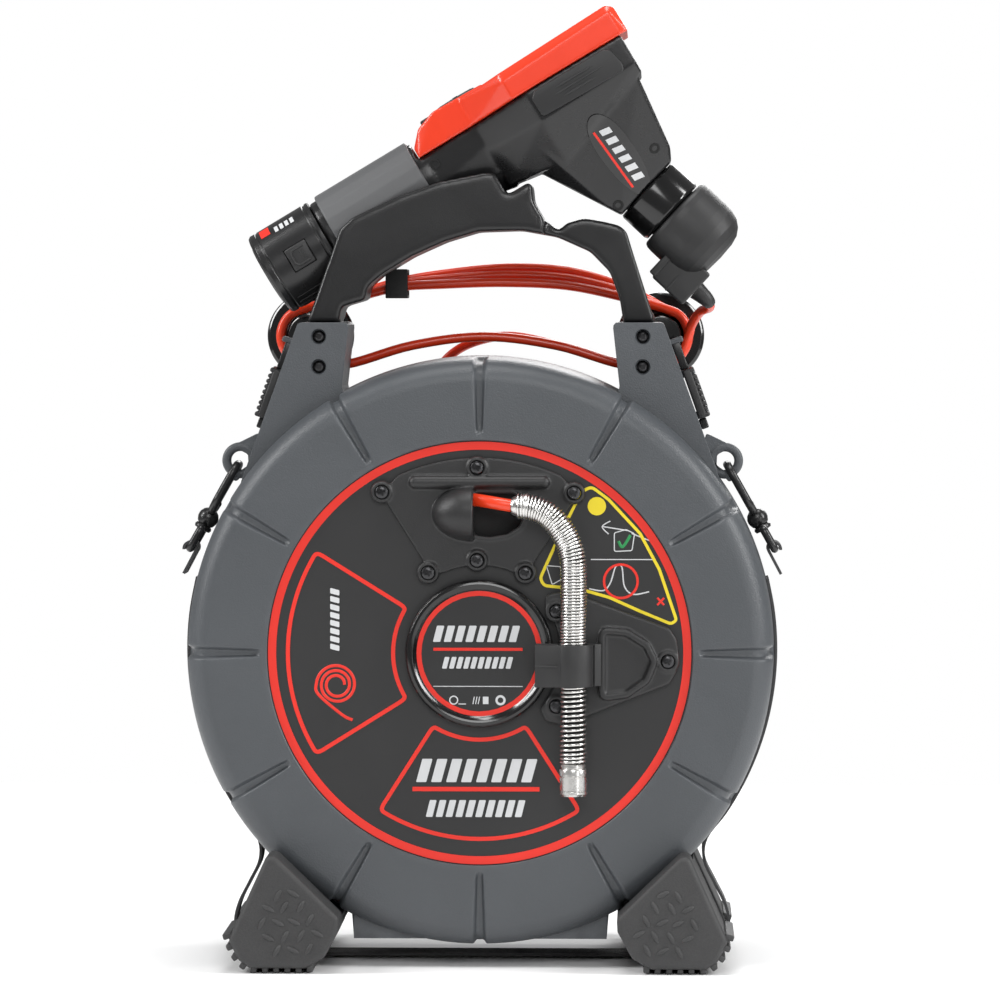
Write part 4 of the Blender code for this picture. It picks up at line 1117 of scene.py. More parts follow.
def buildPort():
    sector = [*arc(50, 65, 115, 14), polar(57, 121), polar(103, 121.5), polar(107.5, 119)]
    sector += [*arc(110.8, 114.5, 65.5, 24), polar(107.5, 61), polar(103, 58.5), polar(57, 59)]
    opening = [(-4, 91.6), (-4, 66.4), (6, 65.2), (16, 66.8), (23.4, 71.5), (26.6, 79),
               (25.6, 86.5), (20, 91.6)]
    opening = [(x, axisZ + z) for x, z in opening]
    lip = rounded(opening, 4, steps=5)
    extras = [bar([(p[0], -60.9, p[1]) for p in lip], 1.25, 3, cyclic=True)]
    collar = [(3.9, -59.5), (3.9, -61.9), (4.4, -62.6), (5.4, -62.4), (6.4, -61.0), (6.6, -59.5)]
    extras += screwCollars(collar, panel["portScrews"])
    ribHalf, ribY, ribZ, ribR = 36.5, -61, axisZ + 97, 3.7
    extras.append(bar([(-ribHalf, ribY, ribZ), (ribHalf, ribY, ribZ)], ribR, 6))
    for side in (-1, 1):
        extras.append(ball((side * (ribHalf - 0.2), ribY, ribZ), (ribR, ribR, ribR), rows=14, columns=28))
    centre = (-4, -59, axisZ + 79.4)
    hollow = ball(centre, (20.6, 15.6, 13.2), rows=32, columns=64)
    cutX = orientedBox((0, 0, 0), (1, 0, 0), (0, 1, 0), (-4, -90, axisZ + 55), (40, -40, axisZ + 100))
    cutY = orientedBox((0, 0, 0), (1, 0, 0), (0, 1, 0), (-40, -59.2, axisZ + 50), (40, -30, axisZ + 105))
    extras.append(carved(ball(centre, (23, 18, 15.8), rows=32, columns=64), [hollow, cutX, cutY]))
    arch = []
    for k in range(25):
        angle = math.radians(-90 + 180 * k / 24)
        arch.append((-4.4, -59 - 16.9 * math.cos(angle), centre[2] + 14.6 * math.sin(angle)))
    extras.append(bar(arch, 1.35, 3))
    cutters = [plate(lip, -70, -50), *screwHoles(panel["portScrews"])]
    outline = rounded(sector, 3, steps=3)
    shape = softPlate(outline, panel["portFace"], panelY + 0.1, cutters, panel["skin"], 4, extras)
    addPiece("portPlate", shape, "reel", "plateBlack", ["port_plate"], smooth=70)
    # a near-black sheet behind the opening: painted shade of the dark inside
    well = [(p[0], p[1]) for p in rounded([(x * 1.04, z) for x, z in opening], 4, steps=5)]
    addPiece("portWell", plate(well, panelY + 3.1, panelY + 3.6), "reel", "paintedShadeBlack", ())

    rimPoints = [(37.5, 33.5), (46, 35), (60.5, 31.5), (107.5, 14.5), (111.5, 8), (113, -1.3), (111.5, -10)]
    rimPoints += [(107.5, -17), (60.5, -35.5), (46, -40), (37.5, -38)]
    outline = rounded([(x, axisZ + z) for x, z in rimPoints] + arc(46, -42, 36, 14), 4, steps=4)
    ridge = raisedInset(plate(outline, -63.6, -60), [(3.4, 0), (0.5, -2.4)])
    around = [(0, -70), (6.5, -70), (6.5, -50), (0, -50)]
    room = [turned(around, (x, 0, axisZ + z), steps=24) for x, z in panel["clipScrews"]]
    extras = [carved(ridge, room)]
    collar = [(3.9, -60.5), (3.9, -63), (4.5, -63.6), (5.6, -63.4), (6.6, -62.4), (6.8, -60.5)]
    extras += screwCollars(collar, panel["clipScrews"])
    pad = rounded([(67.5, 15.5), (84, 14), (96, 6.5), (101, -4), (96, -16), (84, -24.5),
                   (67.5, -27)], 6, steps=6)
    seat = plate([(p[0], axisZ + p[1]) for p in pad], -66.4, -61)
    extras.append(raisedInset(seat, [(3.0, 0.4), (1.4, -2.2)]))
    holes = screwHoles(panel["clipScrews"])
    shape = softPlate(outline, panel["clipFace"], panelY, holes, panel["skin"], 5, extras)
    addPiece("clipBase", shape, "reel", "plateBlack", ["clip_base"], smooth=70)

    for kind, face in (("port", -62.0), ("clip", -62.3)):
        for k, (x, z) in enumerate(panel[kind + "Screws"]):
            head = screwHead(x, face, axisZ + z, 3.6, 1.5)
            addPiece(f"{kind}Screw{k + 1}", head, "reel", "screwBlack", [f"{kind}_screw_{k + 1}"])
    for k, (x, z) in enumerate(screwSpots()):
        head = screwHead(x, -34.5, z, 3.3, 2.2, "hexagon")
        addPiece(f"handleScrew{k + 1}", head, "reel", "screwBlack", [f"handle_screw_{k + 1}"])
    print("port plate and clip base done")


def buildHub():
    ring = [(33.4, -61.0), (35.2, -61.2), (36.4, -62.4), (37.8, -63.6), (39.2, -64), (40.6, -63.6)]
    ring += [(41.7, -62.4), (42, -61), (42, -58.2), (33.4, -58.2)]
    ring = turned([tuple(p) for p in rounded(ring, 0.8, steps=3)], (0, 0, axisZ), steps=160, closed=True)
    addPiece("hubRing", ring, "reel", "glossBlack", ["hub_cap"])
    label = [(0, -61.2), (35.6, -61.2), (35.8, -61.0), (35.8, -58.4), (0, -58.4)]
    addPiece("hubLabel", turned(label, (0, 0, axisZ), steps=128), "reel", "panelVinyl", ())
    face = panel["hubFace"]
    red = together(ringMark(0, 0, 36.2, 3.4, face), ruleMark(-26, 24.5, 1.6, 3.3, face))
    addPiece("hubRedLines", red, "reel", "printRed")
    pale = slantedRow((-1.8, 11.2), 49, 9.2, 8, 2.4, face)
    pale += slantedRow((-1.2, -5.2), 40, 6.6, 10, 1.7, face)
    pale += [stroke([(-26, -18.6), (24.5, -18.6)], 0.5, face), ringMark(-14.5, -26.4, 2.6, 0.7, face)]
    pale += [stroke([(-11.8, -28.6), (-7.6, -28.6)], 0.6, face), ringMark(12, -26.4, 2.9, 1.3, face)]
    for k in range(3):
        pale.append(stroke([(-3.6 + 1.5 * k, -28.6), (-2.8 + 1.5 * k, -24.4)], 0.6, face))
    pale.append(ruleMark(2.0, 5.2, -28.6, -24.4, face))
    addPiece("hubPaleMarks", together(*pale), "reel", "printWhite")
    print("hub done")


buildPanel()
buildPort()
buildHub()

# push cable, spring, camera head and the clip that holds them
spring = {
    "wire": 0.82,
    "mean": 6.9,
    "tightPitch": 1.78,
    "openPitch": 2.75,
    "sides": 18,
    "core": 5.6,
    "cable": 3.6,  # radius of the push cable
}
springTurns = [(19.2, 84), (26.5, 83.6), (33.2, 82), (39, 79), (43.6, 74.8), (47.6, 69.2), (51, 62.6)]
springTurns += [(52.9, 55.5), (53.4, 47), (53.4, 20), (53.4, -20), (53.4, -60.8)]


def springLine():
    return [Vector((x, -70.5 - 4.5 * min(1.0, i / 7), axisZ + z)) for i, (x, z) in enumerate(springTurns)]


def evenLine(points, spacing):
    # the same line with its points a fixed distance apart
    made, carry = [points[0]], 0.0
    for a, b in zip(points, points[1:]):
        length = (b - a).length
        at = spacing - carry
        while at <= length:
            made.append(a.lerp(b, at / length))
            at += spacing
        carry = (carry + length) % spacing
    return made


def helix(line, mean, pitchAt, sides):
    # a wire wound round a line; pitchAt gives the rise of one turn at each distance
    line = evenLine(line, 0.1)
    up = Vector((0, 1, 0))
    made, phase, turnStep = [], 0.0, math.tau / sides
    due = 0.0
    for i in range(len(line) - 1):
        tangent = (line[i + 1] - line[i]).normalized()
        first = (up - tangent * up.dot(tangent)).normalized()
        second = tangent.cross(first)
        phase += math.tau * 0.1 / pitchAt(line[i])
        while due <= phase:
            made.append(line[i] + (first * math.cos(due) + second * math.sin(due)) * mean)
            due += turnStep
    return made


def buildCamera():
    lead = [(-107, -16, 8), (-104, -22, 34), (-93, -29, 57), (-75, -36, 74), (-55, -41.5, 84)]
    lead += [(-38, -44.5, 87.8), (-26, -47.5, 88.3), (-16, -53, 88.2), (-7, -60, 87.6), (2, -66, 86.6)]
    lead += [(10, -69.4, 85.4)]
    line = [Vector((x, y, axisZ + z)) for x, y, z in lead] + springLine()
    line[-1].z += 3
    cable = bar(smoothLine(line, 8), spring["cable"], 6)
    addPiece("pushCable", cable, "reel", "orangeJacket", ["push_cable_lead"])

    path = smoothLine(springLine(), 12)
    clipTop = highCorner("camera_clip").z
    clipLow = lowCorner("camera_clip").z

    def pitchAt(point):
        if point.z > clipLow:
            return spring["tightPitch"]
        nearEnd = min(1.0, (clipLow - point.z) / 6, (point.z - highCorner("camera_head").z) / 9)
        return spring["tightPitch"] + (spring["openPitch"] - spring["tightPitch"]) * max(0.0, nearEnd)

    wound = helix(path[5:], spring["mean"], pitchAt, spring["sides"])
    coil = bar(wound, spring["wire"], 1)
    addPiece("springCoil", coil, "reel", "springSteel", ["camera_spring"], smooth=80)
    # a near-black bar inside the coil: painted shade in the spring's hollow
    core = bar(path[6:], spring["core"], 4)
    addPiece("springCore", core, "reel", "paintedShadeBlack", ())
    start, ahead = path[0], (path[3] - path[0]).normalized()
    swage = [(3.7, -1.0), (4.6, -0.8), (5.4, 0.6), (6.6, 4.4), (7.3, 6.6), (7.5, 8.2)]
    swage += [(6.0, 8.6), (3.7, 8.0)]
    ferrule = turned([tuple(p) for p in rounded(swage, 0.5, steps=2)], start, ahead, 40, closed=True)
    addPiece("springFerrule", ferrule, "reel", "turnedSteel", ())

    low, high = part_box("camera_head")
    top, bottom, radius = high.z / mm, low.z / mm, (high.x - low.x) / 2 / mm
    centre = (middle("camera_head").x, middle("camera_head").y, 0)
    body = [(0, top), (6.4, top), (7.0, top - 0.6), (7.1, top - 1.8), (6.7, top - 2.1), (6.7, top - 2.6)]
    body += [(radius - 0.2, top - 3), (radius, top - 3.4), (radius, top - 6.6), (radius - 0.35, top - 6.9)]
    body += [(radius - 0.35, top - 7.3), (radius, top - 7.6), (radius, bottom + 3.4)]
    body += [(radius - 0.3, bottom + 3.1), (radius - 0.3, bottom + 2.8), (radius, bottom + 2.5)]
    body += [(radius, bottom + 1.2), (radius - 0.9, bottom), (5.9, bottom), (5.6, bottom + 0.5)]
    body += [(5.6, bottom + 2.2), (0, bottom + 2.2)]
    head = turned(body, centre, (0, 0, 1), 72)
    slots = []
    for k in range(4):
        angle = math.radians(45 + 90 * k)
        out = Vector((math.cos(angle), math.sin(angle), 0))
        slots.append(orientedBox((centre[0], centre[1], bottom), (0, 0, 1), out,
                                 (-1, radius - 0.9, -0.5), (1.6, radius + 1, 0.5)))
    addPiece("cameraHead", carved(head, slots), "reel", "turnedSteel", ["camera_head"])
    lens = [(0, bottom + 1.0), (2.2, bottom + 0.7), (2.6, bottom + 1.1), (5.3, bottom + 1.0)]
    lens += [(5.3, bottom + 1.9), (0, bottom + 1.9)]
    addPiece("cameraLens", turned(lens, centre, (0, 0, 1), 48), "reel", "screenGlass",
             ["camera_window"])

    clip = nodeShape("camera_clip")
    bmesh.ops.dissolve_limit(clip, angle_limit=math.radians(1), verts=clip.verts, edges=clip.edges)
    bevelled(clip, 1.0, 3, 40)
    rib = orientedBox((centre[0], centre[1], (clipTop + clipLow) / 2), (1, 0, 0), (0, 1, 0),
                      (-21.6, -9.6, -0.6), (-9, -6.6, 0.6), 0.4)
    addPiece("cameraClip", together(clip, rib), "reel", "softTouch", ["camera_clip"])
    print("camera done")


buildCamera()

# feet
foot = {
    "outline": [(-140.6, 19), (-135, 7.5), (-128.4, 2.9), (-97, 2.9), (-86.6, 9), (-78.4, 24), (-78, 31.7),
                (-114, 66.7), (-119, 66.5)],
    "teethLine": [(-141.2, 21), (-139, 14.4), (-135.2, 8), (-129.5, 3.2), (-122, 2.6), (-98, 2.6),
                  (-90, 6.2)],
    "toothPitch": 6.3,
    "toothHalf": (1.75, 2.7),  # half length and half height of a tooth
    "depths": (17, 89),
    "edges": (4.2, 1.2),  # bevels of the outer and inner ends
    "lozengeSize": (4.0, 1.3, 1.5),
    # raised marks on each foot's face: x, z and which way they lie
    "lozenges": [(-112.5, 44, 1), (-104, 45.5, 0), (-118, 37, 0), (-109, 37.5, 1), (-99.5, 38, 1),
                 (-121.5, 28.5, 1), (-112.5, 29, 0), (-103.5, 29.5, 0), (-94.5, 30.5, 1),
                 (-118, 20.5, 0), (-108.5, 21, 1), (-99.5, 21.5, 1), (-90.5, 23, 0),
                 (-104, 13.5, 0), (-95, 14, 1), (-113, 13, 1)],
}


def buildFeet():
    inside, outside = foot["depths"]
    outerEdge, innerEdge = foot["edges"]
    long, high = foot["toothHalf"]
    for row, y0, y1, front in (("front", -outside, -inside, -outside), ("rear", inside, outside, outside)):
        for side, hand in ((-1, "left"), (1, "right")):
            outline = [(-side * x, z) for x, z in rounded(foot["outline"], 4.5, steps=4)]
            body = plate(outline, y0, y1)
            bevelled(body, outerEdge, 5, 50,
                     keep=lambda e: all(abs(v.co.y - front) < 0.01 for v in e.verts))
            bevelled(body, innerEdge, 2, 50,
                     keep=lambda e: all(abs(v.co.y) < inside + 0.1 for v in e.verts))
            near = caseR + 0.5
            back, ahead = (-60.6, 10) if row == "front" else (-10, 60.6)
            profile = [(0, back), (near, back), (near, ahead), (0, ahead)]
            hollow = turned(profile, (0, 0, axisZ), steps=160)
            parts = [carved(body, [hollow])]
            line = evenLine(smoothLine([(x, 0, z) for x, z in foot["teethLine"]], 6), foot["toothPitch"])
            for k, point in enumerate(line):
                ahead = line[min(k + 1, len(line) - 1)] - line[max(k - 1, 0)]
                ahead = Vector((-side * ahead.x, 0, ahead.z)).normalized()
                at = Vector((-side * point.x, 0, max(point.z, 2.9)))
                start, end = (y0 + 3, y1 - 1.5) if row == "front" else (y0 + 1.5, y1 - 3)
                parts.append(orientedBox(at, ahead, (0, 1, 0), (-long, start, -high),
                                         (long, end, high), 0.9))
            for x, z, kind in foot["lozenges"]:
                angle = math.radians(-62 if kind else 28) * (-side)
                turn = Matrix.Rotation(angle, 3, "Y")
                parts.append(ball((-side * x, front, z), foot["lozengeSize"], turn, 8, 14))
            addPiece(f"foot{row.title()}{hand.title()}", together(*parts), "reel", "blackRubber",
                     [f"foot_{row}_{hand}"], weighted=True)
    print("feet done")


buildFeet()

# carrying handle
handle = {"skin": 1.15, "rounds": 9}  # voxel and smoothing of its moulded skin


def buildHandle():
    shape = moulded(nodeShape("handle"), handle["skin"], handle["rounds"])
    addPiece("carryHandle", shape, "reel", "mouldedBlack", ["handle"], smooth=70)
    print("handle done")


buildHandle()

# cord, its spools and its clip
cord = {
    "radius": 2.75,
    "turns": 3,
    "spoolR": 11.5,
    "postBack": 31.0,
    "reliefR": 5.6,
    "bootR": 5.2,
    "ringFlutes": 16,  # finger flutes round the coupling ring
    "fluteDepth": 0.022,
}
cord["pitch"] = 2 * cord["radius"] + 0.4
cord["start"] = cord["postBack"] + 0.3
spoolX = highCorner("cord_spool_right").x - 25.5
spoolZ = middle("cord_spool_right").z


def wrap(side, start, end, count, reach, y):
    points = []
    for k in range(count):
        angle = math.radians(start + (end - start) * k / (count - 1))
        points.append((side * spoolX + reach * math.cos(angle), y, spoolZ + reach * math.sin(angle)))
    return points


def cordRoute():
    # from the gland in the rear case, three turns round the spools, then to the plug block
    pitch, turns = cord["pitch"], cord["turns"]
    layer = [cord["start"] + 0.2 + pitch * (k + 0.5) for k in range(4)][::-1]
    reach = cord["spoolR"] + cord["radius"] + 1.9
    rear = 60 + cord["radius"] + 1.2
    path = [(0, 52, axisZ), (0, 64, axisZ), (-0.3, 72.5, axisZ + 3.2), (-1.4, 77.8, axisZ + 10.5)]
    path += [(-4, 78, axisZ + 24), (-16, rear + 2, axisZ + 62), (-32, rear, axisZ + 122)]
    path += [(-31, rear, axisZ + 150), (-23, rear, axisZ + 165), (-8, rear - 2, axisZ + 174.5)]
    path += [(14, layer[0] + 4, 357.5), (42, layer[0], 352.2), (80, layer[0], 341.3)]
    for turn in range(turns):
        y, after = layer[turn], layer[turn + 1]
        path += wrap(1, -84, 84, 5, reach, y)
        rise = pitch * 0.72 * (turns - 1 - turn)
        path.append((80, y * 0.9 + after * 0.1, 380.5 + rise * 0.7))
        path.append((48, y * 0.7 + after * 0.3, 387 + rise))
        path.append((12, y * 0.4 + after * 0.6, 388.8 + rise))
        path.append((-24, y * 0.1 + after * 0.9 + 1.5, 387.8 + rise * 0.7))
        path.append((-51, after + 1.6, 386.0 + rise * 0.35))
        path.append((-80, after + 0.6, 378.8 + rise * 0.2))
        path += wrap(-1, 96, 264, 5, reach, after)
        path += [(-80, after, 341.3), (-42, after, 352.2), (0, after, 357.3), (42, after, 352.2)]
        path.append((80, after, 341.3))
    y = layer[turns]
    path += wrap(1, -84, 0, 3, reach, y)
    path += [(120.5, y - 3, 364.5), (125.5, y - 13, 372), (130.5, 8, 374.5)]
    path += [tuple(plugPoint(70, -23, 0)), tuple(plugPoint(61.4, -23, 0))]
    return path


def buildCord():
    line = smoothLine(cordRoute(), 7)
    body = bar(line, cord["radius"], 5)
    length = sum((b - a).length for a, b in zip(line, line[1:]))
    piece = addPiece("monitorCord", body, "reel", "orangeJacket", ["monitor_cord"],
                     smooth=80)
    print("cord length mm", round(length))
    sleeve = line[6:22]
    radii = [1.0 - 0.36 * k / (len(sleeve) - 1) + (0.07 if k % 2 else 0.0) for k in range(len(sleeve))]
    relief = bar(sleeve, cord["reliefR"], 5, radii=radii)
    reliefPiece = addPiece("cordRelief", relief, "reel", "blackRubber", (), smooth=70)
    end = line[-10:]
    radii = [0.72 + 0.36 * k / (len(end) - 1) for k in range(len(end))]
    boot = bar(end, cord["bootR"], 5, radii=radii)
    bootPiece = addPiece("plugBoot", boot, "reel", "softTouch", (), smooth=70)

    for side, hand in ((-1, "left"), (1, "right")):
        low, high = lowCorner("cord_spool_" + hand).y, highCorner("cord_spool_" + hand).y
        profile = [(0, low), (cord["spoolR"], low), (cord["spoolR"], high - 6.2), (13, high - 5)]
        profile += [(23.6, high - 5), (25.2, high - 3.8), (25.5, high - 2.4), (24.6, high - 0.9)]
        profile += [(22.4, high), (9, high), (7.6, high - 0.8), (0, high - 0.8)]
        shape = turned([tuple(p) for p in rounded(profile, 0.8, closed=False, steps=3)],
                       (side * spoolX, 0, spoolZ), steps=80)
        addPiece("cordSpool" + hand.title(), shape, "reel", "glossBlack", ["cord_spool_" + hand])
    clip = nodeShape("cord_clip")
    bmesh.ops.dissolve_limit(clip, angle_limit=math.radians(1), verts=clip.verts, edges=clip.edges)
    addPiece("cordClip", bevelled(clip, 0.7, 3, 40), "reel", "softTouch", ["cord_clip"])

    profile = [(0, -7.2), (9.4, -7.2), (9.6, -6.8), (9.6, 0.4), (16.4, 0.4), (16.6, 0.8), (16.6, 20.9)]
    profile += [(22.3, 21.3), (23.4, 22), (24.2, 23.6), (24.5, 27), (24.5, 39), (24.1, 44.6), (22.6, 50)]
    profile += [(19.6, 54), (15.4, 56.8), (10, 58.1), (0, 58.6)]
    cap = turned([tuple(p) for p in rounded(profile, 0.7, closed=False, steps=3)], nose, plugA, 112)
    block = plugBox(37, 61, -35.0, -11, 12.3, 1.6)
    tab = plugBox(34, 38.5, -33.8, -20, 13.4, 1.0)
    seam = plugBox(47.6, 48.6, -35.3, -24, 12.6, 0.3)
    addPiece("plugBody", together(cap, block, tab, seam), "reel", "softTouch", ["plug_body"])
    ring = rounded([(17.1, 0.8), (20.6, 0.8), (21.3, 2.2), (21.3, 18.4), (20.3, 20.5),
                    (17.1, 20.5)], 0.5, steps=2)
    collar = turned([tuple(p) for p in ring], nose, plugA, 192, closed=True)
    for vert in collar.verts:
        rel = vert.co - nose
        along = rel.dot(plugA)
        out = rel - plugA * along
        if out.length > 20.5 and 3.5 < along < 17.5:
            angle = math.atan2(out.dot(plugB), out.y)
            out *= 1 - cord["fluteDepth"] * (0.5 + 0.5 * math.cos(angle * cord["ringFlutes"]))
            vert.co = nose + plugA * along + out
    addPiece("couplingRing", collar, "coupling", "glossBlack", ["coupling_ring"],
             smooth=60)
    print("cord and plug done")
    return piece, [reliefPiece, bootPiece], length


cordPiece, cordParts, cordLength = buildCord()


# hand-held monitor
monitor = {
    "shellSkin": (1.0, 5),  # voxel and smoothing of each moulded skin
    "bezelSkin": (0.85, 4),
    "padSkin": (0.6, 3),
    "navAt": 145,  # places along the grip
    "keysAt": 124.5,
    "keysApart": 9,
    "navWell": (13.6, 27.1),  # reach and floor of the wells in the bezel
    "keyWell": (4.6, 24.6),
    "sockets": [(55.5, 14), (116, 5), (228, -52), (193.5, -69)],
    "badgeHalf": (27.0, 9.6),
}


def buildMonitor():
    shells = {}
    for half, node in (("Near", "handset_shell_near"), ("Far", "handset_shell_far")):
        shape = moulded(nodeShape(node), *monitor["shellSkin"])
        shells[half] = addPiece("monitorShell" + half, shape, "handset", "mouldedBlack", [node],
                                smooth=75)
    bezel = moulded(nodeShape("handset_bezel"), *monitor["bezelSkin"])
    navAt, keysAt, apart = monitor["navAt"], monitor["keysAt"], monitor["keysApart"]
    wells = []
    for u, y, well in ((navAt, 0, "navWell"), (keysAt, -apart, "keyWell"), (keysAt, apart, "keyWell")):
        reach, floor = monitor[well]
        profile = [(0, floor), (reach, floor), (reach, 40), (0, 40)]
        wells.append(turned(profile, grip(u, 0, y), gripV, 64))
    bezel = carved(bezel, wells)
    addPiece("monitorBezel", bezel, "handset", "orangeShell", ["handset_bezel"],
             smooth=75)
    finishNode("screen", "screenGlass")

    pad = moulded(nodeShape("grip_pad"), *monitor["padSkin"])
    addPiece("gripPad", pad, "handset", "greyOvermould", ["grip_pad"], smooth=75)

    skin = surfaceOf(shells["Near"])
    outline = [(186, 10.2), (231, 10.2), (234.6, 7.8), (236.4, -2), (235.6, -6.0), (182.6, -4.8),
               (182.4, 7)]
    outline = [grip(u, v) for u, v in outline]
    flat = rounded([(p.x, p.z) for p in outline], 2.4, steps=4)
    cover = bevelled(plate(flat, -52.7, -50.35), 0.8, 3, 40)
    ridges = []
    for u0, u1, v in ((197, 222, 5.6), (195, 226, 2.4), (199, 220, -0.8)):
        line = [grip(u0 + (u1 - u0) * t / 6, v, -52.6) for t in range(7)]
        ridges.append(bar(line, 0.75, 3, radii=[0.3, 1, 1, 1, 1, 1, 0.3]))
    addPiece("portCover", together(cover, *ridges), "cover", "softTouch", ["port_cover"])

    # near-black rims and discs on the shell where its screws sit: painted shade of the socket holes
    holes = []
    for u, v in monitor["sockets"]:
        at = grip(u, v)
        hit = skin.ray_cast(Vector((at.x, farInFront, at.z)), Vector((0, 1, 0)))
        if hit[0] is not None:
            rim = [(1.6, 0.6), (1.6, -0.15), (2.2, -0.35), (3.0, -0.3), (3.3, 0.3), (3.3, 0.8)]
            holes.append(turned(rim, hit[0], -hit[1], 28, closed=True))
            holes.append(turned([(0, 0.02), (1.8, 0.02), (1.8, 0.5), (0, 0.5)], hit[0], -hit[1], 20))
    addPiece("shellScrewSockets", together(*holes), "handset", "paintedShadeBlack", ())

    # a plain almond badge on the nose
    centre = Vector((79, 461))
    along = Vector((94 - 63.5, 439.8 - 481.7)).normalized()
    across = Vector((-along.y, along.x))
    almond = []
    badgeLong, badgeWide = monitor["badgeHalf"]
    for k in range(48):
        angle = math.tau * k / 48
        c, s = math.cos(angle), math.sin(angle)
        reach = badgeLong * (abs(c) ** 0.85) * (1 if c > 0 else -1)
        width = badgeWide * s * (1 - 0.12 * c)
        almond.append(centre + along * reach + across * width)

    def badgePart(outline, thick, lift):
        bm = bmesh.new()
        face = bm.faces.new([bm.verts.new((p.x, 0, p.y)) for p in outline])
        made = bmesh.ops.extrude_face_region(bm, geom=[face])
        moved = [v for v in made["geom"] if isinstance(v, bmesh.types.BMVert)]
        bmesh.ops.translate(bm, vec=(0, -thick, 0), verts=moved)
        bmesh.ops.recalc_face_normals(bm, faces=bm.faces)
        bmesh.ops.triangulate(bm, faces=[f for f in bm.faces if len(f.verts) > 4])
        bmesh.ops.subdivide_edges(bm, edges=bm.edges, cuts=2, use_grid_fill=True)
        return draped(bm, skin, lift)

    addPiece("noseBadge", badgePart(almond, 0.9, -0.2), "handset", "glossBlack", (),
             smooth=50)
    band = [centre + along * r + across * w for r, w in ((-19, -5.2), (19, -5.2), (19, -3.8), (-19, -3.8))]
    addPiece("noseBadgeLine", badgePart(band, 0.3, 0.75), "handset", "printRed", (), smooth=50)
    strokes = []
    for k in range(6):
        r = -18 + 6.2 * k
        corners = ((0, -1.6), (3.6, -1.6), (5, 4.6), (1.4, 4.6))
        shape = [centre + along * (r + a) + across * w for a, w in corners]
        strokes.append(badgePart(shape, 0.3, 0.75))
    addPiece("noseBadgeMarks", together(*strokes), "handset", "printWhite", (), smooth=50)

    nav = rounded([(6.2, 28.4), (13, 28.4), (13, 31.2), (12.2, 32.2), (7, 32.2), (6.2, 31.6)], 0.5, steps=3)
    ring = turned([tuple(p) for p in nav], grip(navAt, 0), gripV, 64, closed=True)
    arrows = []
    for k in range(4):
        out = gripU if k % 2 == 0 else Vector((0, 1, 0))
        out = out * (1 if k < 2 else -1)
        at = grip(navAt, 32.1) + out * 9.7
        arrows.append(orientedBox(at, out, gripV.cross(out), (-0.5, -1.6, -0.2), (0.5, 1.6, 0.45), 0.2))
    addPiece("navRing", together(ring, *arrows), "nav", "softTouch", ["nav_ring"])
    key = [(0, 28.4), (5.7, 28.4), (5.7, 31.2), (4.9, 32), (2.2, 31.7), (0, 31.6)]
    key = [tuple(p) for p in rounded(key, 0.4, closed=False, steps=3)]
    dome = turned(key, grip(navAt, 0), gripV, 48)
    addPiece("selectButton", dome, "select", "greyOvermould", ["select_button"])
    key = [(0, 26), (4, 26), (4, 30), (3.4, 30.6), (0, 30.8)]
    key = [tuple(p) for p in rounded(key, 0.4, closed=False, steps=3)]
    for name, y in (("menu", -apart), ("power", apart)):
        dome = turned(key, grip(keysAt, 0, y), gripV, 40)
        addPiece(name + "Button", dome, name, "softTouch", [name + "_button"])

    profile = [(0, 0), (18, 0), (19, 0.8), (22.6, 0.8), (24, 1.2), (25, 2.6), (25, 5.4), (24.5, 5.9)]
    profile += [(24.5, 6.5), (25, 7), (25, 36.6), (24.4, 37.2), (24.4, 38.2), (25, 38.8), (25, 40.9)]
    profile += [(0, 40.9)]
    can = turned([tuple(p) for p in rounded(profile, 0.4, closed=False, steps=2)], gripO, gripU, 112)
    recesses = []
    for side in (-1, 1):
        y0, y1 = side * 20.6, side * 40
        recesses.append(gripBox(15.7, 30.3, -7.3, 7.3, min(y0, y1), max(y0, y1)))
    can = carved(can, recesses)
    tower = gripBox(39, 72, -9, 9, -12, 12, 1.5)
    ribs = []
    for k in range(4):
        angle = math.radians(-128 + 11 * k)
        out = Vector((0, math.cos(angle), 0)) + gripV * math.sin(angle)
        ribs.append(orientedBox(gripO, gripU, out, (9, 24.5, -0.8), (33, 25.5, 0.8), 0.35))
    addPiece("batteryPack", together(can, tower, *ribs), "battery", "mouldedBlack", ["battery_pack"],
             weighted=True)
    for side, name in ((-1, "near"), (1, "far")):
        y0, y1 = side * 22.4, side * 25.0
        pad = gripBox(16, 30, -7, 7, min(y0, y1), max(y0, y1), 1.2)
        rim = [(27.5, 4.6), (20.5, 4.6), (18.6, 2.8), (18.6, -2.8), (20.5, -4.6), (27.5, -4.6)]
        line = [grip(p[0], p[1], side * 25.0) for p in rounded(rim, 1.6, closed=False, steps=4)]
        bars = [bar([grip(24 + 2 * k, -2.4, side * 25), grip(24 + 2 * k, 2.4, side * 25)], 0.5, 2)
                for k in range(2)]
        addPiece("batteryRelease" + name.title(), together(pad, bar(line, 0.75, 3), *bars),
                 "release_" + name, "softTouch", ["battery_release_" + name])
    patches = {"printRed": (8.5, 14.5, 128, 150), "printWhite": (17.5, 31, 131, 143)}
    for ink, (u0, u1, a0, a1) in patches.items():
        strokesOf = [(u0, u1, a0, a1)]
        if ink == "printWhite":
            strokesOf = [(u0 + 3.4 * k, u0 + 3.4 * k + 2.2, a0, a1) for k in range(4)]
        parts = []
        for start, end, first, last in strokesOf:
            bm = bmesh.new()
            angle = math.radians(first)
            out = Vector((0, math.cos(angle), 0)) + gripV * math.sin(angle)
            corners = [gripO + gripU * u + out * r for u, r in
                       ((start, 24.8), (start, 25.15), (end, 25.15), (end, 24.8))]
            verts = [bm.verts.new(c) for c in corners]
            face = bm.faces.new(verts)
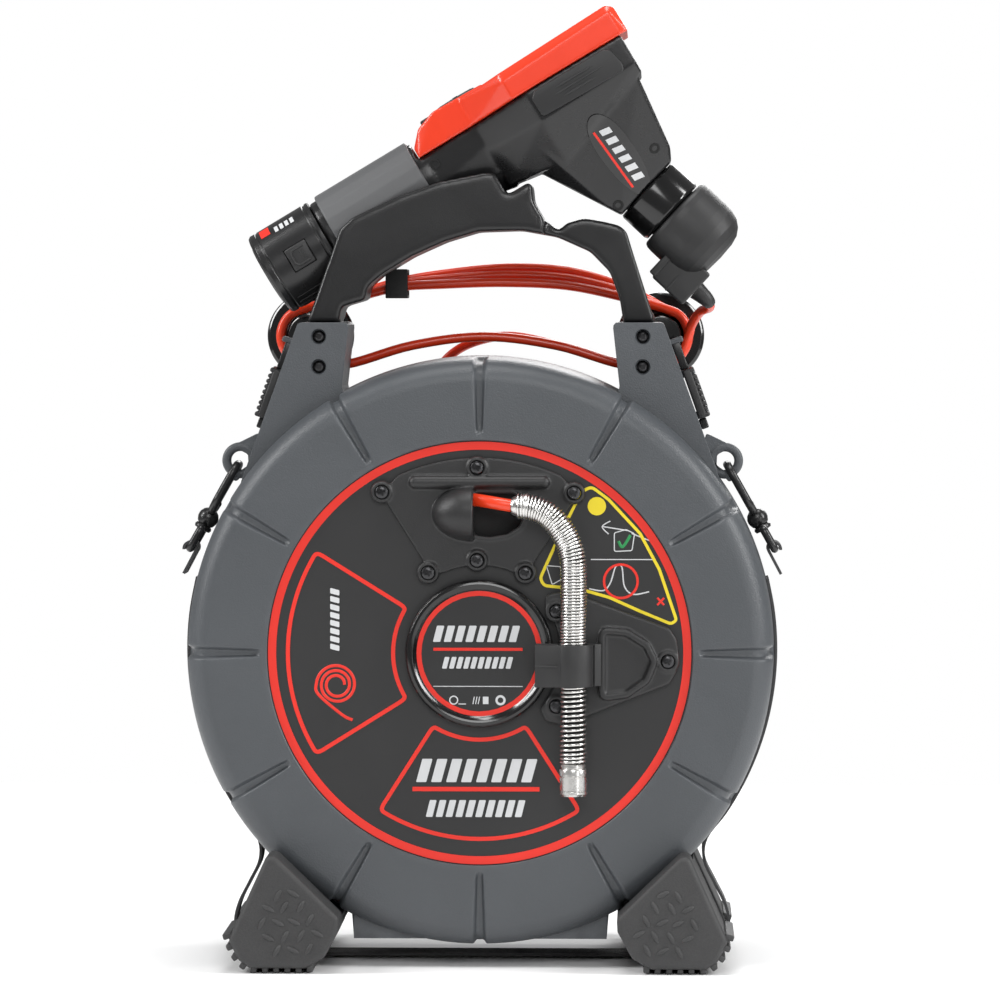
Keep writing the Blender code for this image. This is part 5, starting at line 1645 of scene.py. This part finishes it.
            bmesh.ops.spin(bm, geom=[face], cent=gripO, axis=gripU, angle=-math.radians(last - first),
                           steps=8, use_merge=False, use_duplicate=False)
            bmesh.ops.recalc_face_normals(bm, faces=bm.faces)
            parts.append(bm)
        addPiece("batteryLabel" + ink[5:], together(*parts), "battery", ink)
    print("monitor done")


buildMonitor()

# straps, snap hooks and side latches
hook = {
    "barR": 2.4,
    "gateR": 1.6,
    "frameR": 2.3,
    "frame": (44.25, 57.7, 14.2),  # start, end and half width of the lug that holds the webbing
    "down": Vector((-0.491, 0, -0.871)).normalized(),
    "y": -3.0,
}
strap = {"width": 25.0, "thick": 1.6, "cuts": 6, "endTurn": 225}


def hookPoint(side, t, y, n=0.0):
    ear = Vector(joints["hook_left_swing"]["pos_m"]) / mm
    across = Vector((hook["down"].z, 0, -hook["down"].x))
    place = Vector((ear.x, 0, ear.z)) + hook["down"] * t + across * n
    return Vector((-side * place.x, hook["y"] + y, place.z))


def webbing(line, width, thick, centreY):
    # a woven strip along an (x, z) line, with its UV in millimetres
    bm = bmesh.new()
    uv = bm.loops.layers.uv.new("strap")
    rows, distance, total = [], [0.0], 0.0
    for a, b in zip(line, line[1:]):
        total += (b - a).length
        distance.append(total)
    cuts = strap["cuts"]
    across = [centreY - width / 2 + width * k / cuts for k in range(cuts + 1)]
    for point in line:
        rows.append([bm.verts.new((point.x, y, point.z)) for y in across])
    for i in range(len(rows) - 1):
        for k in range(cuts):
            face = bm.faces.new((rows[i][k], rows[i][k + 1], rows[i + 1][k + 1], rows[i + 1][k]))
            for loop, (row, column) in zip(face.loops, ((i, k), (i, k + 1), (i + 1, k + 1), (i + 1, k))):
                loop[uv].uv = (distance[row], width * column / cuts)
    bmesh.ops.recalc_face_normals(bm, faces=bm.faces)
    bmesh.ops.solidify(bm, geom=list(bm.faces), thickness=thick)
    bmesh.ops.recalc_face_normals(bm, faces=bm.faces)
    return bm, total


def buildStraps():
    width, thick = strap["width"], strap["thick"]
    close = caseR + 0.6 + thick / 2
    half = [polar(close, a) for a in range(166, 221, 6)]
    half += [(-128.5, 57.5), (-134.5, 44.5), (-140.6, 32), (-142.6, 20), (-137, 9), (-125, 3.2)]
    half += [(-100, 2.0), (-50, 1.9)]
    line = half + [(-x, z) for x, z in half[::-1]]
    line = smoothLine([(x, 0, z) for x, z in line], 5)
    shape, total = webbing(line, width, thick, hook["y"])
    print("strap length mm", round(total))
    addPiece("shoulderStrap", shape, "reel", "wovenStrap", ["shoulder_strap"], smooth=60)
    for side, hand in ((-1, "left"), (1, "right")):
        frameStart, frameEnd, frameHalf = hook["frame"]
        centre = hookPoint(-1, frameEnd, 0)
        turn = 3.25 + 0.3 + thick / 2
        down = math.degrees(math.atan2(hook["down"].z, hook["down"].x))
        loop = []
        for k in range(17):
            angle = math.radians(down + 82 + strap["endTurn"] * k / 16)
            loop.append(Vector((centre.x + turn * math.cos(angle), 0, centre.z + turn * math.sin(angle))))
        start = loop[0] + hook["down"] * 14 + Vector((0.4, 0, 0))
        loop = [start, start.lerp(loop[0], 0.5), *loop]
        loop = [Vector((-side * p.x, 0, p.z)) for p in loop]
        shape, total = webbing(loop, width - 0.6, thick, hook["y"])
        stitches = []
        for row in range(3):
            middlePoint = loop[0].lerp(loop[2], 0.25 + 0.25 * row)
            for k in range(8):
                y = hook["y"] - 10 + 20 * k / 7
                away = Vector((side, 0, 0.5)).normalized() * 0.95
                stitches.append(bar([middlePoint + away + Vector((0, y - 0.9, 0)),
                                     middlePoint + away + Vector((0, y + 0.9, 0))], 0.3, 1))
        addPiece("strapEnd" + hand.title(), shape, "hook_" + hand, "wovenStrap", ["strap_end_" + hand],
                 smooth=60)
        addPiece("strapStitch" + hand.title(), together(*stitches), "hook_" + hand, "softTouch", ())

        bend = [(36, 0), (31.5, -7), (27, -11.6), (22, -12.5), (9.5, -12.5), (5, -10.5), (3, -6.5)]
        bend += [(2.7, 0), (3, 6.5), (5, 10.5), (9.2, 12.5)]
        parts = [bar(smoothLine([hookPoint(side, t, y) for t, y in bend], 6), hook["barR"], 6)]
        stub = [(36, 0), (33, 6.5), (31.2, 11.6), (29.3, 12.5)]
        parts.append(bar(smoothLine([hookPoint(side, t, y) for t, y in stub], 6), hook["barR"], 6))
        for t, y in ((9.2, 12.5), (29.3, 12.5)):
            parts.append(ball(hookPoint(side, t, y), (2.5, 2.5, 2.5), rows=10, columns=16))
        profile = [(0, 32.3), (2.6, 32.6), (4.6, 34.2), (5.8, 36.4), (6, 38), (5.9, 39.4)]
        profile += [(5, 41.6), (3.8, 42.8), (3.0, 43.4), (0, 43.6)]
        axis = hookPoint(side, 1, 0) - hookPoint(side, 0, 0)
        parts.append(turned(profile, hookPoint(side, 0, 0), axis, 36))
        lug = [(frameStart, -frameHalf), (frameEnd, -frameHalf), (frameEnd, frameHalf),
               (frameStart, frameHalf)]
        corners = rounded(lug, 3.2, steps=5)
        parts.append(bar([hookPoint(side, p[0], p[1]) for p in corners], hook["frameR"], 5, cyclic=True))
        collar = [(2.6, 42.6), (4.6, 42.9), (5.2, 44.2), (4.6, 45.6), (2.6, 45.9)]
        parts.append(turned(collar, hookPoint(side, 0, 0), axis, 32, closed=True))
        addPiece("snapHook" + hand.title(), together(*parts), "hook_" + hand, "mouldedBlack",
                 ["snap_hook_" + hand], smooth=60)
        gate = bar([hookPoint(side, 28.3, 12.5), hookPoint(side, 10, 12.5)], hook["gateR"], 4)
        thumb = ball(hookPoint(side, 19, 14.2), (1.3, 1.6, 1.3), rows=8, columns=12)
        addPiece("snapGate" + hand.title(), together(gate, thumb), "gate_" + hand, "springSteel",
                 ["snap_gate_" + hand])

        lever = [latchBox(side, -14.7, 14.7, -13, 7, 0.6, 5.6, 1.2)]
        lever.append(latchBox(side, -9.9, 9.9, 4.5, 10.5, 1.4, 7.0, 1.0))
        knuckle = [latchPoint(side, s, latch["pinY"], latch["pinBack"]) for s in (-9.9, 9.9)]
        sleeveLine = knuckle[1] - knuckle[0]
        tube = rounded([(1.85, 0), (3.5, 0), (3.5, 19.8), (1.85, 19.8)], 0.4, steps=2)
        lever.append(turned([tuple(p) for p in tube], knuckle[0], sleeveLine, 28, closed=True))
        for k in range(7):
            s = -9.75 + 3.25 * k
            lever.append(latchBox(side, s - 1.25, s + 1.25, -12.6, 6.4, 3.5, 7.6, 1.1))
        for s0, s1 in ((-14.7, -12.0), (12.0, 14.7)):
            lever.append(latchBox(side, s0, s1, -12.9, 6.9, 2.6, 7.5, 1.1))
        addPiece("sideLatch" + hand.title(), together(*lever), "latch_" + hand, "softTouch",
                 ["side_latch_" + hand])
    print("straps, hooks and latches done")


buildStraps()

# the drum inside
finishNode("axle", "axleSteel")
finishNode("drum", "drumGrey")
finishNode("push_cable_coil", "orangeJacket")
[tuple(p * mm) for p in smoothLine(cordRoute(), 7)]


# floor, light and camera
stage = {"floorHalf": 1.1, "floorTone": 0.95, "worldLight": 0.26}
# each light's place, the point it faces, its width and height, and its power
lights = {
    "frontLight": ((0.1, -2.2, 1.4), (0, 0, 0.25), (1.0, 1.0), 17.5),
    "leftLight": ((-1.45, -0.35, 1.15), (0, 0, 0.25), (0.25, 1.2), 19),
    "rightLight": ((1.5, -0.45, 1.0), (0, 0, 0.25), (0.25, 1.2), 19),
    "topLight": ((0.1, -0.1, 1.9), (0, 0, 0.3), (1.3, 0.35), 15),
    "lowRightLight": ((1.3, -1.6, 0.4), (0, 0, 0.2), (0.3, 0.8), 4),
    "backLight": ((0.4, 1.8, 1.2), (0, 0, 0.25), (1.2, 0.9), 18),
}
view = {"target": (10.0, 0, 263.6), "distance": 3.2, "azimuth": 1.6, "elevation": 2.2, "lens": 200,
        "sensor": 36}


def softLight(name, place, aim, size, power):
    light = bpy.data.lights.new(name, "AREA")
    light.shape = "RECTANGLE"
    light.size, light.size_y = size
    light.energy = power
    obj = bpy.data.objects.new(name, light)
    bpy.context.scene.collection.objects.link(obj)
    obj.location = place
    obj.rotation_mode = "QUATERNION"
    obj.rotation_quaternion = (Vector(aim) - Vector(place)).to_track_quat("-Z", "Y")


def buildStage():
    bm = bmesh.new()
    bmesh.ops.create_grid(bm, x_segments=1, y_segments=1, size=stage["floorHalf"])
    mesh = bpy.data.meshes.new("floor")
    bm.to_mesh(mesh)
    bm.free()
    floor = bpy.data.objects.new("floor", mesh)
    bpy.context.scene.collection.objects.link(floor)
    paper = bpy.data.materials.new("paleFloor")
    paper.use_nodes = True
    shader = paper.node_tree.nodes["Principled BSDF"]
    tone = stage["floorTone"]
    shader.inputs["Base Color"].default_value = (tone, tone, tone, 1)
    shader.inputs["Roughness"].default_value = 0.9
    mesh.materials.append(paper)
    # the backdrop looks white, while the light that it gives stays low
    world = bpy.data.worlds.new("studio")
    world.use_nodes = True
    tree = world.node_tree
    path = tree.nodes.new("ShaderNodeLightPath")
    level = addNode(
        tree,
        "ShaderNodeMapRange",
        {"Value": path.outputs["Is Camera Ray"], "To Min": stage["worldLight"], "To Max": 1.0},
    )
    tree.nodes["Background"].inputs[0].default_value = (1, 1, 1, 1)
    tree.links.new(level.outputs[0], tree.nodes["Background"].inputs[1])
    bpy.context.scene.world = world
    for name, settings in lights.items():
        softLight(name, *settings)
    print("stage done")


def buildView():
    target = Vector(view["target"]) * mm
    turn, lift = math.radians(view["azimuth"]), math.radians(view["elevation"])
    back = Vector((math.sin(turn) * math.cos(lift), -math.cos(turn) * math.cos(lift), math.sin(lift)))
    data = bpy.data.cameras.new("view")
    data.sensor_width = view["sensor"]
    data.lens = view["lens"]
    camera = bpy.data.objects.new("view", data)
    bpy.context.scene.collection.objects.link(camera)
    camera.location = target + back * view["distance"]
    camera.rotation_mode = "QUATERNION"
    camera.rotation_quaternion = (-back).to_track_quat("-Z", "Y")
    bpy.context.scene.camera = camera
    bpy.context.scene.view_settings.view_transform = "Standard"


buildStage()
buildView()
